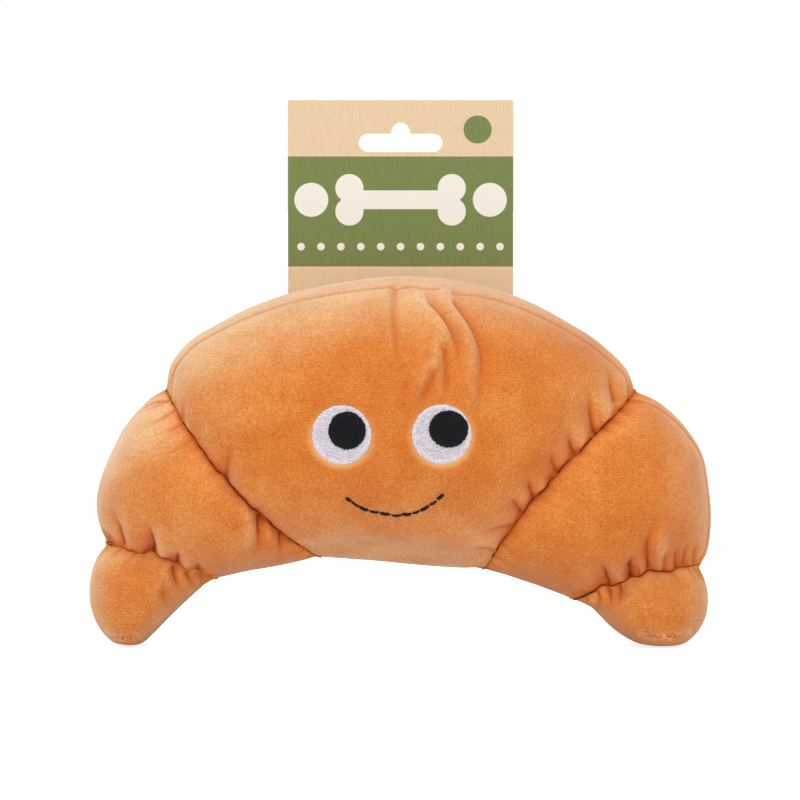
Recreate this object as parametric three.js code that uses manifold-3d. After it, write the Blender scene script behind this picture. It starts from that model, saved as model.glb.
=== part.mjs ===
// A squeaky plush dog toy in the shape of a croissant: five stuffed lobes joined at drawn-in seams, a stitched
// face, a squeaker behind the face, and a header card pinned to the back of the crown.
// Millimetres, +Z up. The toy stands on its two tips and the face looks along -Y.

import * as THREE from 'three';
import { mergeVertices } from 'three/addons/utils/BufferGeometryUtils.js';
import loadManifold from 'manifold-3d';

const wasm = await loadManifold();
wasm.setup();

// Centre lobe: an elliptical crown over a straight belly edge.
const CROWN_HALF_WIDTH = 79.5;
const CROWN_SPRING_HEIGHT = 82;
const CROWN_RISE = 42.5;
const SHOULDER_ANGLE = 84;
const BELLY_HALF_WIDTH = 27;
const BELLY_HEIGHT = 28.3;
const CENTRE_HALF_DEPTH = 50;

// Wings: from the upper seam to the tip seam. Bulges are handles of the outer edge, away from the seam's ends.
const WING_HALF_DEPTH_AT_SEAM = 33;
const WING_SWELL = 9.5;
const WING_UPPER_BULGE = [16.8, -7.6];
const WING_LOWER_BULGE = [8.1, 20.4];

// Tips: from the tip seam to the toe that the toy stands on.
const TIP_SEAM_OUTER = [100.9, 31.6];
const TIP_SEAM_INNER = [60, 18.8];
const TIP_HALF_DEPTH_AT_SEAM = 19;
const TIP_HALF_DEPTH = 21.5;
const TIP_FULLEST = 0.3;
const TOE_X = 90;
const TOE_FLATTENING = 0.5;
const TIP_OUTER_BULGE = [6.1, -9.6];
const TIP_INNER_BULGE = [8, -6.3];
const TOE_OUTER_REACH = 15.5;
const TOE_INNER_REACH = 11;
const TOE_INNER_RISE = 2.5;

// Plush skin and the seam between its front and back panels, which lies forward of the middle.
const SECTION_FULLNESS = 2.2;
const PANEL_THICKNESS = 2;
const PANEL_SEAM_AT_CROWN = 20;
const PANEL_SEAM_AT_WING = 13;
const PANEL_SEAM_AT_TIP = 7.6;

// Flexing seams: how far outside the seam each hinge line lies, and the room the rounded filling has in it.
const WING_HINGE_OFFSET = 20;
const TIP_HINGE_OFFSET = 10;
const JOINT_CLEARANCE = 0.8;

// Face.
const FACE_X = -2;
const FACE_HEIGHT = 68;
const FACE_PAD_RADIUS = 30;
const EYE_RADIUS = 9.9;
const EYE_SPACING = 33.6;
const EYE_HEIGHT = 73;
const PUPIL_RADIUS = 6.1;
const PUPIL_SHIFT = [2.1, 1.7];
const EMBROIDERY_THICKNESS = 0.8;
const MOUTH_HALF_WIDTH = 16.3;
const MOUTH_CORNER_HEIGHT = 50.2;
const MOUTH_SAG = 6;
const MOUTH_THREAD_RADIUS = 0.7;

// Squeaker, lying with its axis front to back.
const SQUEAKER_RADIUS = 29;
const SQUEAKER_HALF_LENGTH = 12.5;
const SQUEAKER_PLATE = 1.5;
const SQUEAKER_TRAVEL = 8;
const BELLOWS_WALL = 1.1;
const BELLOWS_FOLD_DEPTH = 4;
const BELLOWS_FOLDS = 3;
const COLLAR_RADIUS = 7;
const REED_TUBE_RADIUS = 4.9;
const REED_TUBE_WALL = 1.2;
const REED_TUBE_LENGTH = 10;
const REED_WIDTH = 3.4;
const REED_THICKNESS = 0.25;
const REED_LENGTH = 7.6;
const REED_CLAMP_LENGTH = 2.7;
const REED_CHANNEL_WIDTH = 2;
const REED_CHANNEL_DEPTH = 1.2;

// Header card and its two tag pins.
const CARD_WIDTH = 77;
const CARD_HEIGHT = 76;
const CARD_THICKNESS = 0.6;
const CARD_OVERLAP = 17;
const CARD_CORNER_RADIUS = 0.8;
const CARD_TILT_LIMIT = 30;
const SLOT_WIDTH = 28.7;
const SLOT_HEIGHT = 6.3;
const SLOT_BELOW_TOP = 17.7;
const SLOT_BUMP_RADIUS = 3.2;
const SLOT_BUMP_RISE = 3.8;
const PIN_SPACING = 48;
const PIN_ABOVE_CARD_FOOT = 5;
const PIN_RADIUS = 0.5;
const PIN_BAR_RADIUS = 0.8;
const PIN_BAR_LENGTH = 9;
const PIN_DEPTH_IN_FILLING = 9;

// Between pieces that touch.
const GAP = 0.3;

// Facets: sections along each lobe and sides round it, then those of turned and bent pieces.
const CENTRE_FACETS = [12, 20];
const WING_FACETS = [5, 16];
const TIP_FACETS = [6, 16];
const BARREL_FACETS = [8, 24];
const PANEL_SEAM_STEPS = 14;
const TURNED_SIDES = 24;
const MOUTH_STEPS = 14;

const plush = new THREE.MeshStandardMaterial({ color: 0xe08340, roughness: 0.95, metalness: 0 });
const fibre = new THREE.MeshStandardMaterial({ color: 0xf4f2ee, roughness: 1, metalness: 0 });
const whiteThread = new THREE.MeshStandardMaterial({ color: 0xdedae2, roughness: 0.7, metalness: 0 });
const blackThread = new THREE.MeshStandardMaterial({ color: 0x242228, roughness: 0.7, metalness: 0 });
const squeakerPlastic = new THREE.MeshStandardMaterial({ color: 0xf2efe6, roughness: 0.4, metalness: 0 });
const cardBoard = new THREE.MeshStandardMaterial({ color: 0xebd1ac, roughness: 0.85, metalness: 0 });
const pinPlastic = new THREE.MeshStandardMaterial({ color: 0xf4f4f4, roughness: 0.35, metalness: 0 });

const toy = new THREE.Group();

// Solids: a closed three.js geometry becomes a manifold solid for cutting, and goes back to a mesh.

function solidOf(geometry) {
  const bare = geometry.clone();
  bare.deleteAttribute('normal');
  bare.deleteAttribute('uv');
  const merged = mergeVertices(bare, 1e-4);
  const triVerts = Uint32Array.from(merged.index.array);
  const vertProperties = Float32Array.from(merged.attributes.position.array);
  if (signedVolume(vertProperties, triVerts) < 0) {
    triVerts.reverse();
  }
  return new wasm.Manifold(new wasm.Mesh({ numProp: 3, vertProperties, triVerts }));
}

function signedVolume(points, triangles) {
  let total = 0;
  const corners = [new THREE.Vector3(), new THREE.Vector3(), new THREE.Vector3()];
  for (let i = 0; i < triangles.length; i += 3) {
    corners.forEach((corner, k) => corner.fromArray(points, 3 * triangles[i + k]));
    total += corners[0].dot(corners[1].cross(corners[2])) / 6;
  }
  return total;
}

function addPiece(name, solid, material) {
  const { vertProperties, triVerts } = solid.getMesh();
  const geometry = new THREE.BufferGeometry();
  geometry.setAttribute('position', new THREE.BufferAttribute(vertProperties, 3));
  geometry.setIndex(new THREE.BufferAttribute(triVerts, 1));
  geometry.computeVertexNormals();
  const mesh = new THREE.Mesh(geometry, material);
  mesh.name = name;
  toy.add(mesh);
}

function warp(geometry, pointAt) {
  const position = geometry.attributes.position;
  for (let i = 0; i < position.count; i += 1) {
    const point = pointAt(position.getX(i), position.getY(i), position.getZ(i));
    position.setXYZ(i, point.x, point.y, point.z);
  }
  return geometry;
}

function block(width, depth, height, x, y, z) {
  return solidOf(new THREE.BoxGeometry(width, depth, height).translate(x, y, z));
}

function rod(radius, length, sides, axis) {
  const geometry = new THREE.CylinderGeometry(radius, radius, length, sides);
  if (axis === 'x') {
    geometry.rotateZ(Math.PI / 2);
  }
  return geometry;
}

// Lobes: each is a row of rounded sections. A section spans from the outer edge to the inner edge of the
// croissant in the XZ plane and swells to a half depth in Y. u runs along the lobe.

const vec2 = ([x, z]) => new THREE.Vector2(x, z);
const shoulder = vec2(crownAt(1));
const armpit = new THREE.Vector2(BELLY_HALF_WIDTH, BELLY_HEIGHT);
const tipOuter = vec2(TIP_SEAM_OUTER);
const tipInner = vec2(TIP_SEAM_INNER);
const toe = new THREE.Vector2(TOE_X, -TOE_FLATTENING);

function crownAt(u) {
  const angle = THREE.MathUtils.degToRad(SHOULDER_ANGLE) * u;
  return [CROWN_HALF_WIDTH * Math.sin(angle), CROWN_SPRING_HEIGHT + CROWN_RISE * Math.cos(angle)];
}

const centreLobe = {
  outer: (u) => vec2(crownAt(u)),
  inner: (u) => new THREE.Vector2(BELLY_HALF_WIDTH * u, BELLY_HEIGHT),
  depth: (u) => {
    const swell = Math.pow(Math.max(0, 1 - u * u), 0.7);
    return THREE.MathUtils.lerp(WING_HALF_DEPTH_AT_SEAM, CENTRE_HALF_DEPTH, swell);
  },
};

const wingOuterEdge = new THREE.CubicBezierCurve(
  shoulder,
  shoulder.clone().add(vec2(WING_UPPER_BULGE)),
  tipOuter.clone().add(vec2(WING_LOWER_BULGE)),
  tipOuter,
);
const wingLobe = {
  outer: (u) => wingOuterEdge.getPoint(u),
  inner: (u) => armpit.clone().lerp(tipInner, u),
  depth: (u) => {
    const taper = THREE.MathUtils.lerp(WING_HALF_DEPTH_AT_SEAM, TIP_HALF_DEPTH_AT_SEAM, u);
    return taper + 4 * WING_SWELL * u * (1 - u);
  },
};

const tipOuterEdge = new THREE.CubicBezierCurve(
  tipOuter,
  tipOuter.clone().add(vec2(TIP_OUTER_BULGE)),
  toe.clone().add(new THREE.Vector2(TOE_OUTER_REACH, 0)),
  toe,
);
const tipInnerEdge = new THREE.CubicBezierCurve(
  tipInner,
  tipInner.clone().add(vec2(TIP_INNER_BULGE)),
  toe.clone().add(new THREE.Vector2(-TOE_INNER_REACH, TOE_INNER_RISE)),
  toe,
);
const tipLobe = {
  outer: (u) => tipOuterEdge.getPoint(u),
  inner: (u) => tipInnerEdge.getPoint(u),
  depth: (u) => {
    if (u < TIP_FULLEST) {
      const narrowing = (1 - u / TIP_FULLEST) ** 2;
      return THREE.MathUtils.lerp(TIP_HALF_DEPTH, TIP_HALF_DEPTH_AT_SEAM, narrowing);
    }
    const towardsToe = (u - TIP_FULLEST) / (1 - TIP_FULLEST);
    return TIP_HALF_DEPTH * Math.sqrt(Math.max(0, 1 - towardsToe * towardsToe));
  },
};

function rounded(value) {
  return Math.sign(value) * Math.pow(Math.abs(value), 2 / SECTION_FULLNESS);
}

function middleOf(lobe, u) {
  const middle = lobe.outer(u).add(lobe.inner(u)).multiplyScalar(0.5);
  return new THREE.Vector3(middle.x, 0, middle.y);
}

function pointOn(lobe, u, angle) {
  const outer = lobe.outer(u);
  const across = outer.clone().sub(lobe.inner(u)).multiplyScalar(0.5 * (rounded(Math.cos(angle)) - 1));
  return new THREE.Vector3(outer.x + across.x, lobe.depth(u) * rounded(Math.sin(angle)), outer.y + across.y);
}

function pointAbove(lobe, u, angle, height) {
  const step = 1e-3;
  const along = pointOn(lobe, u + step, angle).sub(pointOn(lobe, u - step, angle));
  const round = pointOn(lobe, u, angle + step).sub(pointOn(lobe, u, angle - step));
  const normal = along.cross(round).normalize();
  const point = pointOn(lobe, u, angle);
  if (normal.dot(point.clone().sub(middleOf(lobe, u))) < 0) {
    normal.negate();
  }
  return point.addScaledVector(normal, height);
}

function loft(lobe, uAt, [sections, sides], height) {
  const geometry = warp(new THREE.CylinderGeometry(1, 1, 1, sides, sections), (x, y, z) => {
    const u = uAt(y + 0.5);
    if (Math.hypot(x, z) < 0.5) {
      return middleOf(lobe, u);
    }
    return pointAbove(lobe, u, Math.atan2(z, x), height);
  });
  return solidOf(geometry);
}

// Spacing of the sections: close together where a lobe turns in to its seams or its toe.
const easedBetween = (from, to) => (s) => THREE.MathUtils.lerp(from, to, 0.5 - 0.5 * Math.cos(Math.PI * s));
const easedTo = (from, to) => (s) => THREE.MathUtils.lerp(from, to, Math.sin(0.5 * Math.PI * s));

// Hinged seams: the filling of the smaller lobe ends in a barrel about the hinge line, in a matching socket.

function seamFrame(outer, inner, halfDepth, hingeOffset) {
  const along = outer.clone().sub(inner).normalize();
  const away = new THREE.Vector2(along.y, -along.x);
  const middle = outer.clone().add(inner).multiplyScalar(0.5);
  const hinge = middle.clone().addScaledVector(away, hingeOffset);
  return { along, away, middle, hinge, halfLength: outer.distanceTo(inner) / 2, halfDepth, hingeOffset };
}

const upperSeam = seamFrame(shoulder, armpit, WING_HALF_DEPTH_AT_SEAM, WING_HINGE_OFFSET);
const tipSeam = seamFrame(tipOuter, tipInner, TIP_HALF_DEPTH_AT_SEAM, TIP_HINGE_OFFSET);

function barrel(seam, clearance) {
  const [steps, sides] = BARREL_FACETS;
  const profile = [new THREE.Vector2(0, -seam.halfLength - clearance)];
  for (let i = 0; i <= steps; i += 1) {
    const place = (2 * i) / steps - 1;
    const depth = seam.halfDepth * Math.pow(1 - Math.abs(place) ** SECTION_FULLNESS, 1 / SECTION_FULLNESS);
    const radius = Math.hypot(depth, seam.hingeOffset) + clearance;
    profile.push(new THREE.Vector2(radius, place * (seam.halfLength + clearance)));
  }
  profile.push(new THREE.Vector2(0, seam.halfLength + clearance));
  const geometry = new THREE.LatheGeometry(profile, sides);
  geometry.rotateX(Math.PI / 2);
  geometry.rotateY(Math.atan2(seam.along.x, seam.along.y));
  geometry.translate(seam.hinge.x, 0, seam.hinge.y);
  return solidOf(geometry);
}

function behindSeam(seam, margin) {
  const size = 200;
  const geometry = new THREE.BoxGeometry(size, size, size);
  geometry.translate(-size / 2 - margin, 0, 0);
  geometry.rotateY(Math.atan2(-seam.away.y, seam.away.x));
  geometry.translate(seam.middle.x, 0, seam.middle.y);
  return solidOf(geometry);
}

// The sheet of space in front of the panel seam, following the seam from the crown down to the tips.

function frontOfPanelSeam(shift) {
  const reach = 130;
  const edge = new THREE.SplineCurve([
    new THREE.Vector2(-reach, -PANEL_SEAM_AT_TIP + shift),
    new THREE.Vector2(-TOE_X, -PANEL_SEAM_AT_TIP + shift),
    new THREE.Vector2(-upperSeam.middle.x, -PANEL_SEAM_AT_WING + shift),
    new THREE.Vector2(0, -PANEL_SEAM_AT_CROWN + shift),
    new THREE.Vector2(upperSeam.middle.x, -PANEL_SEAM_AT_WING + shift),
    new THREE.Vector2(TOE_X, -PANEL_SEAM_AT_TIP + shift),
    new THREE.Vector2(reach, -PANEL_SEAM_AT_TIP + shift),
  ]);
  const outline = new THREE.Shape(edge.getPoints(PANEL_SEAM_STEPS));
  outline.lineTo(reach, -reach);
  outline.lineTo(-reach, -reach);
  const geometry = new THREE.ExtrudeGeometry(outline, { depth: 2 * reach, bevelEnabled: false });
  geometry.translate(0, 0, -reach / 2);
  return solidOf(geometry);
}

const inFront = frontOfPanelSeam(0);
const inFrontWithGap = frontOfPanelSeam(GAP);
const fillingInset = PANEL_THICKNESS + GAP;
const domeRoot = 3 * GAP;
const mirrored = (solid, side) => (side < 0 ? solid.mirror([1, 0, 0]) : solid);
const wingBarrelRoom = barrel(upperSeam, JOINT_CLEARANCE);
const tipBarrelRoom = barrel(tipSeam, JOINT_CLEARANCE);

function floorTo(height) {
  const size = 300;
  return block(size, size, size, 0, 0, height - size / 2);
}

// Tips, with the toes pressed flat where the toy stands.
const tipInside = easedTo(-0.08, 0.985);
const tipForm = loft(tipLobe, easedTo(0, 0.985), TIP_FACETS, 0).subtract(floorTo(0));
const tipHollow = loft(tipLobe, tipInside, TIP_FACETS, -PANEL_THICKNESS).subtract(floorTo(PANEL_THICKNESS));
const tipCore = loft(tipLobe, tipInside, TIP_FACETS, -fillingInset).subtract(floorTo(fillingInset));
const tipSkin = tipForm.subtract(tipHollow);
const tipDome = barrel(tipSeam, 0).intersect(behindSeam(tipSeam, GAP));
const tipFilling = tipCore.subtract(behindSeam(tipSeam, domeRoot)).add(tipDome);

// Wings, each with a socket for its tip.
const wingInside = easedBetween(-0.06, 1.06);
const wingForm = loft(wingLobe, easedBetween(0, 1), WING_FACETS, 0);
const wingHollow = loft(wingLobe, wingInside, WING_FACETS, -PANEL_THICKNESS);
const wingCore = loft(wingLobe, wingInside, WING_FACETS, -fillingInset);
const wingSkin = wingForm.subtract(wingHollow).subtract(tipBarrelRoom);
const wingDome = barrel(upperSeam, 0).intersect(behindSeam(upperSeam, GAP));
const wingFilling = wingCore.subtract(behindSeam(upperSeam, domeRoot)).add(wingDome).subtract(tipBarrelRoom);

[['left', -1], ['right', 1]].forEach(([name, side]) => {
  addPiece(`${name}_wing_front_panel`, mirrored(wingSkin.intersect(inFront), side), plush);
  addPiece(`${name}_wing_back_panel`, mirrored(wingSkin.subtract(inFrontWithGap), side), plush);
  addPiece(`${name}_wing_filling`, mirrored(wingFilling, side), fibre);
  addPiece(`${name}_tip_front_panel`, mirrored(tipSkin.intersect(inFront), side), plush);
  addPiece(`${name}_tip_back_panel`, mirrored(tipSkin.subtract(inFrontWithGap), side), plush);
  addPiece(`${name}_tip_filling`, mirrored(tipFilling, side), fibre);
});

// Centre lobe, with a socket at each side and a bore behind the face for the squeaker and its pad.
const sockets = wingBarrelRoom.add(wingBarrelRoom.mirror([1, 0, 0]));
const centreInside = easedBetween(-1.04, 1.04);
const centreForm = loft(centreLobe, easedBetween(-1, 1), CENTRE_FACETS, 0);
const centreHollow = loft(centreLobe, centreInside, CENTRE_FACETS, -PANEL_THICKNESS);
const centreCore = loft(centreLobe, centreInside, CENTRE_FACETS, -fillingInset).subtract(sockets);
const centreSkin = centreForm.subtract(centreHollow).subtract(sockets);

function boreFor(radius, front, back) {
  const geometry = new THREE.CylinderGeometry(radius, radius, back - front, TURNED_SIDES);
  geometry.translate(FACE_X, (front + back) / 2, FACE_HEIGHT);
  return solidOf(geometry);
}

const boreFront = -2 * CENTRE_HALF_DEPTH;
const squeakerSeat = SQUEAKER_HALF_LENGTH + GAP;
const squeakerFront = -SQUEAKER_HALF_LENGTH - GAP;
const boreRadius = Math.max(FACE_PAD_RADIUS, SQUEAKER_RADIUS) + 2 * GAP;
const facePad = centreCore.intersect(boreFor(FACE_PAD_RADIUS, boreFront, squeakerFront));
addPiece('face_pad', facePad, fibre);
addPiece('centre_front_panel', centreSkin.intersect(inFront), plush);

// Face: embroidered eyes lie on the face panel, and the pupils lie on the whites.

function faceSheet(low, high) {
  const halfSpan = 0.75;
  const halfTurn = THREE.MathUtils.degToRad(52);
  const geometry = warp(new THREE.BoxGeometry(2, 2, 2, 16, 1, 12), (x, y, z) => {
    const height = THREE.MathUtils.lerp(low, high, (y + 1) / 2);
    return pointAbove(centreLobe, halfSpan * x, halfTurn * z - Math.PI / 2, height);
  });
  return solidOf(geometry);
}

function roundPatch(sheet, radius, x, z) {
  const geometry = new THREE.CylinderGeometry(radius, radius, CENTRE_HALF_DEPTH, TURNED_SIDES);
  geometry.translate(x, -CENTRE_HALF_DEPTH, z);
  return sheet.intersect(solidOf(geometry));
}

const whiteTop = GAP + EMBROIDERY_THICKNESS;
const pupilTop = whiteTop + GAP + EMBROIDERY_THICKNESS;
const whiteSheet = faceSheet(GAP, whiteTop);
const pupilSheet = faceSheet(whiteTop + GAP, pupilTop);
[['left', -1], ['right', 1]].forEach(([name, side]) => {
  const eyeX = FACE_X + (side * EYE_SPACING) / 2;
  const [shiftX, shiftZ] = PUPIL_SHIFT;
  addPiece(`${name}_eye_white`, roundPatch(whiteSheet, EYE_RADIUS, eyeX, EYE_HEIGHT), whiteThread);
  const pupil = roundPatch(pupilSheet, PUPIL_RADIUS, eyeX + shiftX, EYE_HEIGHT + shiftZ);
  addPiece(`${name}_pupil`, pupil, blackThread);
});

// The half depth of the centre lobe at a place seen from the front.
function centreDepthAt(x, z) {
  let low = -1;
  let high = 1;
  for (let i = 0; i < 40; i += 1) {
    const u = (low + high) / 2;
    const across = centreLobe.outer(u).sub(centreLobe.inner(u));
    const offset = new THREE.Vector2(x, z).sub(centreLobe.inner(u));
    if (across.cross(offset) > 0) {
      high = u;
    } else {
      low = u;
    }
  }
  const across = centreLobe.outer(low).distanceTo(centreLobe.inner(low)) / 2;
  const middle = middleOf(centreLobe, low);
  const share = Math.hypot(x - middle.x, z - middle.z) / across;
  const left = Math.max(0, 1 - Math.pow(share, SECTION_FULLNESS));
  return centreLobe.depth(low) * Math.pow(left, 1 / SECTION_FULLNESS);
}

function faceNormalAt(x, z) {
  const step = 0.5;
  const slopeX = (centreDepthAt(x + step, z) - centreDepthAt(x - step, z)) / (2 * step);
  const slopeZ = (centreDepthAt(x, z + step) - centreDepthAt(x, z - step)) / (2 * step);
  return new THREE.Vector3(-slopeX, -1, -slopeZ).normalize();
}

const mouthPoints = [];
for (let place = -1; place <= 1; place += 0.25) {
  const x = FACE_X + place * MOUTH_HALF_WIDTH;
  const z = MOUTH_CORNER_HEIGHT - MOUTH_SAG * (1 - place * place);
  const point = new THREE.Vector3(x, -centreDepthAt(x, z), z);
  mouthPoints.push(point.addScaledVector(faceNormalAt(x, z), MOUTH_THREAD_RADIUS + GAP));
}
const threadRound = new THREE.Shape().absarc(0, 0, MOUTH_THREAD_RADIUS, 0, 2 * Math.PI);
const mouth = new THREE.ExtrudeGeometry(threadRound, {
  steps: MOUTH_STEPS,
  curveSegments: 4,
  bevelEnabled: false,
  extrudePath: new THREE.CatmullRomCurve3(mouthPoints),
});
addPiece('mouth_stitching', solidOf(mouth), blackThread);

// Squeaker: plates and a folding wall, turned about the front to back axis, with the reed unit in its collar.

const placed = (geometry) => solidOf(geometry.translate(FACE_X, 0, FACE_HEIGHT));
const turned = (points) => new THREE.LatheGeometry(points.map(([r, y]) => new THREE.Vector2(r, y)), TURNED_SIDES);

const plateInside = SQUEAKER_HALF_LENGTH - SQUEAKER_PLATE;
const plateChamfer = SQUEAKER_PLATE * 0.6;
const cap = turned([
  [0, -SQUEAKER_HALF_LENGTH],
  [SQUEAKER_RADIUS - plateChamfer, -SQUEAKER_HALF_LENGTH],
  [SQUEAKER_RADIUS, plateChamfer - SQUEAKER_HALF_LENGTH],
  [SQUEAKER_RADIUS, -plateInside],
  [0, -plateInside],
]);
addPiece('squeaker_cap', placed(cap), squeakerPlastic);

const collarBore = REED_TUBE_RADIUS + GAP;
const collarEnd = SQUEAKER_TRAVEL - plateInside + GAP;
const base = turned([
  [collarBore, SQUEAKER_HALF_LENGTH],
  [collarBore, collarEnd],
  [COLLAR_RADIUS, collarEnd],
  [COLLAR_RADIUS, plateInside],
  [SQUEAKER_RADIUS, plateInside],
  [SQUEAKER_RADIUS, SQUEAKER_HALF_LENGTH - plateChamfer],
  [SQUEAKER_RADIUS - plateChamfer, SQUEAKER_HALF_LENGTH],
  [collarBore, SQUEAKER_HALF_LENGTH],
]);
addPiece('squeaker_base', placed(base), squeakerPlastic);

const wallHalf = plateInside - GAP;
const foldPoints = [];
for (let i = 0; i <= 2 * BELLOWS_FOLDS; i += 1) {
  const y = -wallHalf + (i * wallHalf) / BELLOWS_FOLDS;
  foldPoints.push([SQUEAKER_RADIUS - (i % 2) * BELLOWS_FOLD_DEPTH, y]);
}
const foldInside = foldPoints.map(([r, y]) => [r - 1.5 * BELLOWS_WALL, y]).reverse();
const bellows = turned([...foldPoints, ...foldInside, foldPoints[0]]);
addPiece('squeaker_bellows', placed(bellows), squeakerPlastic);

const tubeBack = SQUEAKER_HALF_LENGTH;
const tubeFront = tubeBack - REED_TUBE_LENGTH;
const tubeBore = REED_TUBE_RADIUS - REED_TUBE_WALL;
const reedTube = turned([
  [tubeBore, tubeBack],
  [tubeBore, tubeFront],
  [REED_TUBE_RADIUS, tubeFront],
  [REED_TUBE_RADIUS, tubeBack],
  [tubeBore, tubeBack],
]);
addPiece('reed_tube', placed(reedTube), squeakerPlastic);

// A half-round bar in the tube, from its flat face outwards, upper or lower, with an optional air channel.
function halfRoundBar(upper, flatHeight, front, back, channel) {
  const radius = tubeBore - GAP;
  const reach = Math.acos(flatHeight / radius);
  const outline = new THREE.Shape();
  outline.absarc(0, 0, radius, Math.PI / 2 - reach, Math.PI / 2 + reach);
  const geometry = new THREE.ExtrudeGeometry(outline, {
    depth: back - front,
    curveSegments: 6,
    bevelEnabled: false,
  });
  geometry.rotateX(Math.PI / 2);
  geometry.translate(0, back, 0);
  if (!upper) {
    geometry.rotateY(Math.PI);
  }
  let bar = placed(geometry);
  if (channel) {
    const top = FACE_HEIGHT - flatHeight;
    const length = back - front - REED_CLAMP_LENGTH;
    const middle = front + length / 2;
    const cut = [REED_CHANNEL_WIDTH, length + 2 * GAP, 2 * REED_CHANNEL_DEPTH];
    bar = bar.subtract(block(...cut, FACE_X, middle - GAP, top));
  }
  return bar;
}

const reedFront = tubeBack - GAP - REED_LENGTH;
const flatFromReed = REED_THICKNESS / 2 + GAP;
const reedBed = halfRoundBar(false, flatFromReed, reedFront - GAP, tubeBack, true);
addPiece('reed_bed', reedBed, squeakerPlastic);
const reedClamp = halfRoundBar(true, flatFromReed, tubeBack - REED_CLAMP_LENGTH, tubeBack, false);
addPiece('reed_clamp', reedClamp, squeakerPlastic);
const reedMiddle = reedFront + REED_LENGTH / 2;
const reed = block(REED_WIDTH, REED_LENGTH, REED_THICKNESS, FACE_X, reedMiddle, FACE_HEIGHT);
addPiece('reed', reed, squeakerPlastic);

// Header card: stands behind the crown, far enough back that its foot clears the plush when it tilts.
const crownTop = CROWN_SPRING_HEIGHT + CROWN_RISE;
const cardFoot = crownTop - CARD_OVERLAP;
const tiltLimit = THREE.MathUtils.degToRad(CARD_TILT_LIMIT);
const footSwing = PIN_ABOVE_CARD_FOOT * Math.sin(tiltLimit);
const cardFront = centreDepthAt(0, cardFoot) + footSwing + 2 * GAP;
const cardBack = cardFront + CARD_THICKNESS;
const pinHeight = cardFoot + PIN_ABOVE_CARD_FOOT;
const pinHoleRadius = PIN_RADIUS / Math.cos(tiltLimit) + CARD_THICKNESS * Math.tan(tiltLimit) + GAP;

function cardOutline() {
  const right = CARD_WIDTH / 2;
  const r = CARD_CORNER_RADIUS;
  const outline = new THREE.Shape();
  outline.moveTo(-right + r, 0);
  outline.lineTo(right - r, 0);
  outline.absarc(right - r, r, r, -Math.PI / 2, 0);
  outline.absarc(right - r, CARD_HEIGHT - r, r, 0, Math.PI / 2);
  outline.absarc(-right + r, CARD_HEIGHT - r, r, Math.PI / 2, Math.PI);
  outline.absarc(-right + r, r, r, Math.PI, 1.5 * Math.PI);
  outline.holes.push(hangSlot());
  [-1, 1].forEach((side) => {
    const hole = new THREE.Path();
    hole.absarc((side * PIN_SPACING) / 2, PIN_ABOVE_CARD_FOOT, pinHoleRadius, 0, 2 * Math.PI, true);
    outline.holes.push(hole);
  });
  return outline;
}

function hangSlot() {
  const end = SLOT_HEIGHT / 2;
  const middle = CARD_HEIGHT - SLOT_BELOW_TOP + end;
  const straight = SLOT_WIDTH / 2 - end;
  const bumpSpring = SLOT_BUMP_RISE - SLOT_BUMP_RADIUS;
  const slot = new THREE.Path();
  slot.moveTo(-straight, middle - end);
  slot.absarc(-straight, middle, end, 1.5 * Math.PI, Math.PI / 2, true);
  slot.lineTo(-SLOT_BUMP_RADIUS, middle + end);
  slot.absarc(0, middle + end + bumpSpring, SLOT_BUMP_RADIUS, Math.PI, 0, true);
  slot.lineTo(SLOT_BUMP_RADIUS, middle + end);
  slot.absarc(straight, middle, end, Math.PI / 2, -Math.PI / 2, true);
  return slot;
}

const card = new THREE.ExtrudeGeometry(cardOutline(), {
  depth: CARD_THICKNESS,
  curveSegments: 6,
  bevelEnabled: false,
});
card.rotateX(Math.PI / 2);
card.translate(0, cardBack, cardFoot);
addPiece('header_card', solidOf(card), cardBoard);

// Tag pins: a bar behind the card, a filament through card and plush, and a bar inside the filling.
const pinHeadAway = PIN_BAR_RADIUS + GAP + PIN_BAR_RADIUS * Math.tan(tiltLimit);
const pinSkinDepth = centreDepthAt(PIN_SPACING / 2, pinHeight);

function tagPin(side, growth) {
  const x = (side * PIN_SPACING) / 2;
  const head = cardBack + pinHeadAway;
  const anchor = pinSkinDepth - PIN_DEPTH_IN_FILLING;
  const bar = () => rod(PIN_BAR_RADIUS + growth, PIN_BAR_LENGTH + 2 * growth, 8, 'x');
  const filament = rod(PIN_RADIUS + growth, head - anchor, 8, 'y');
  return solidOf(filament.translate(x, (head + anchor) / 2, pinHeight))
    .add(solidOf(bar().translate(x, head, pinHeight)))
    .add(solidOf(bar().translate(x, anchor, pinHeight)));
}

const pinRoom = tagPin(-1, GAP).add(tagPin(1, GAP));
addPiece('left_tag_pin', tagPin(-1, 0), pinPlastic);
addPiece('right_tag_pin', tagPin(1, 0), pinPlastic);

const squeakerBore = boreFor(boreRadius, boreFront, squeakerSeat);
addPiece('centre_back_panel', centreSkin.subtract(inFrontWithGap).subtract(pinRoom), plush);
addPiece('centre_filling', centreCore.subtract(squeakerBore).subtract(pinRoom), fibre);

export default toy;
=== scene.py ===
import math

import bmesh
import bpy
import numpy as np
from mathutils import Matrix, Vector
from mathutils.bvhtree import BVHTree


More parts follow.
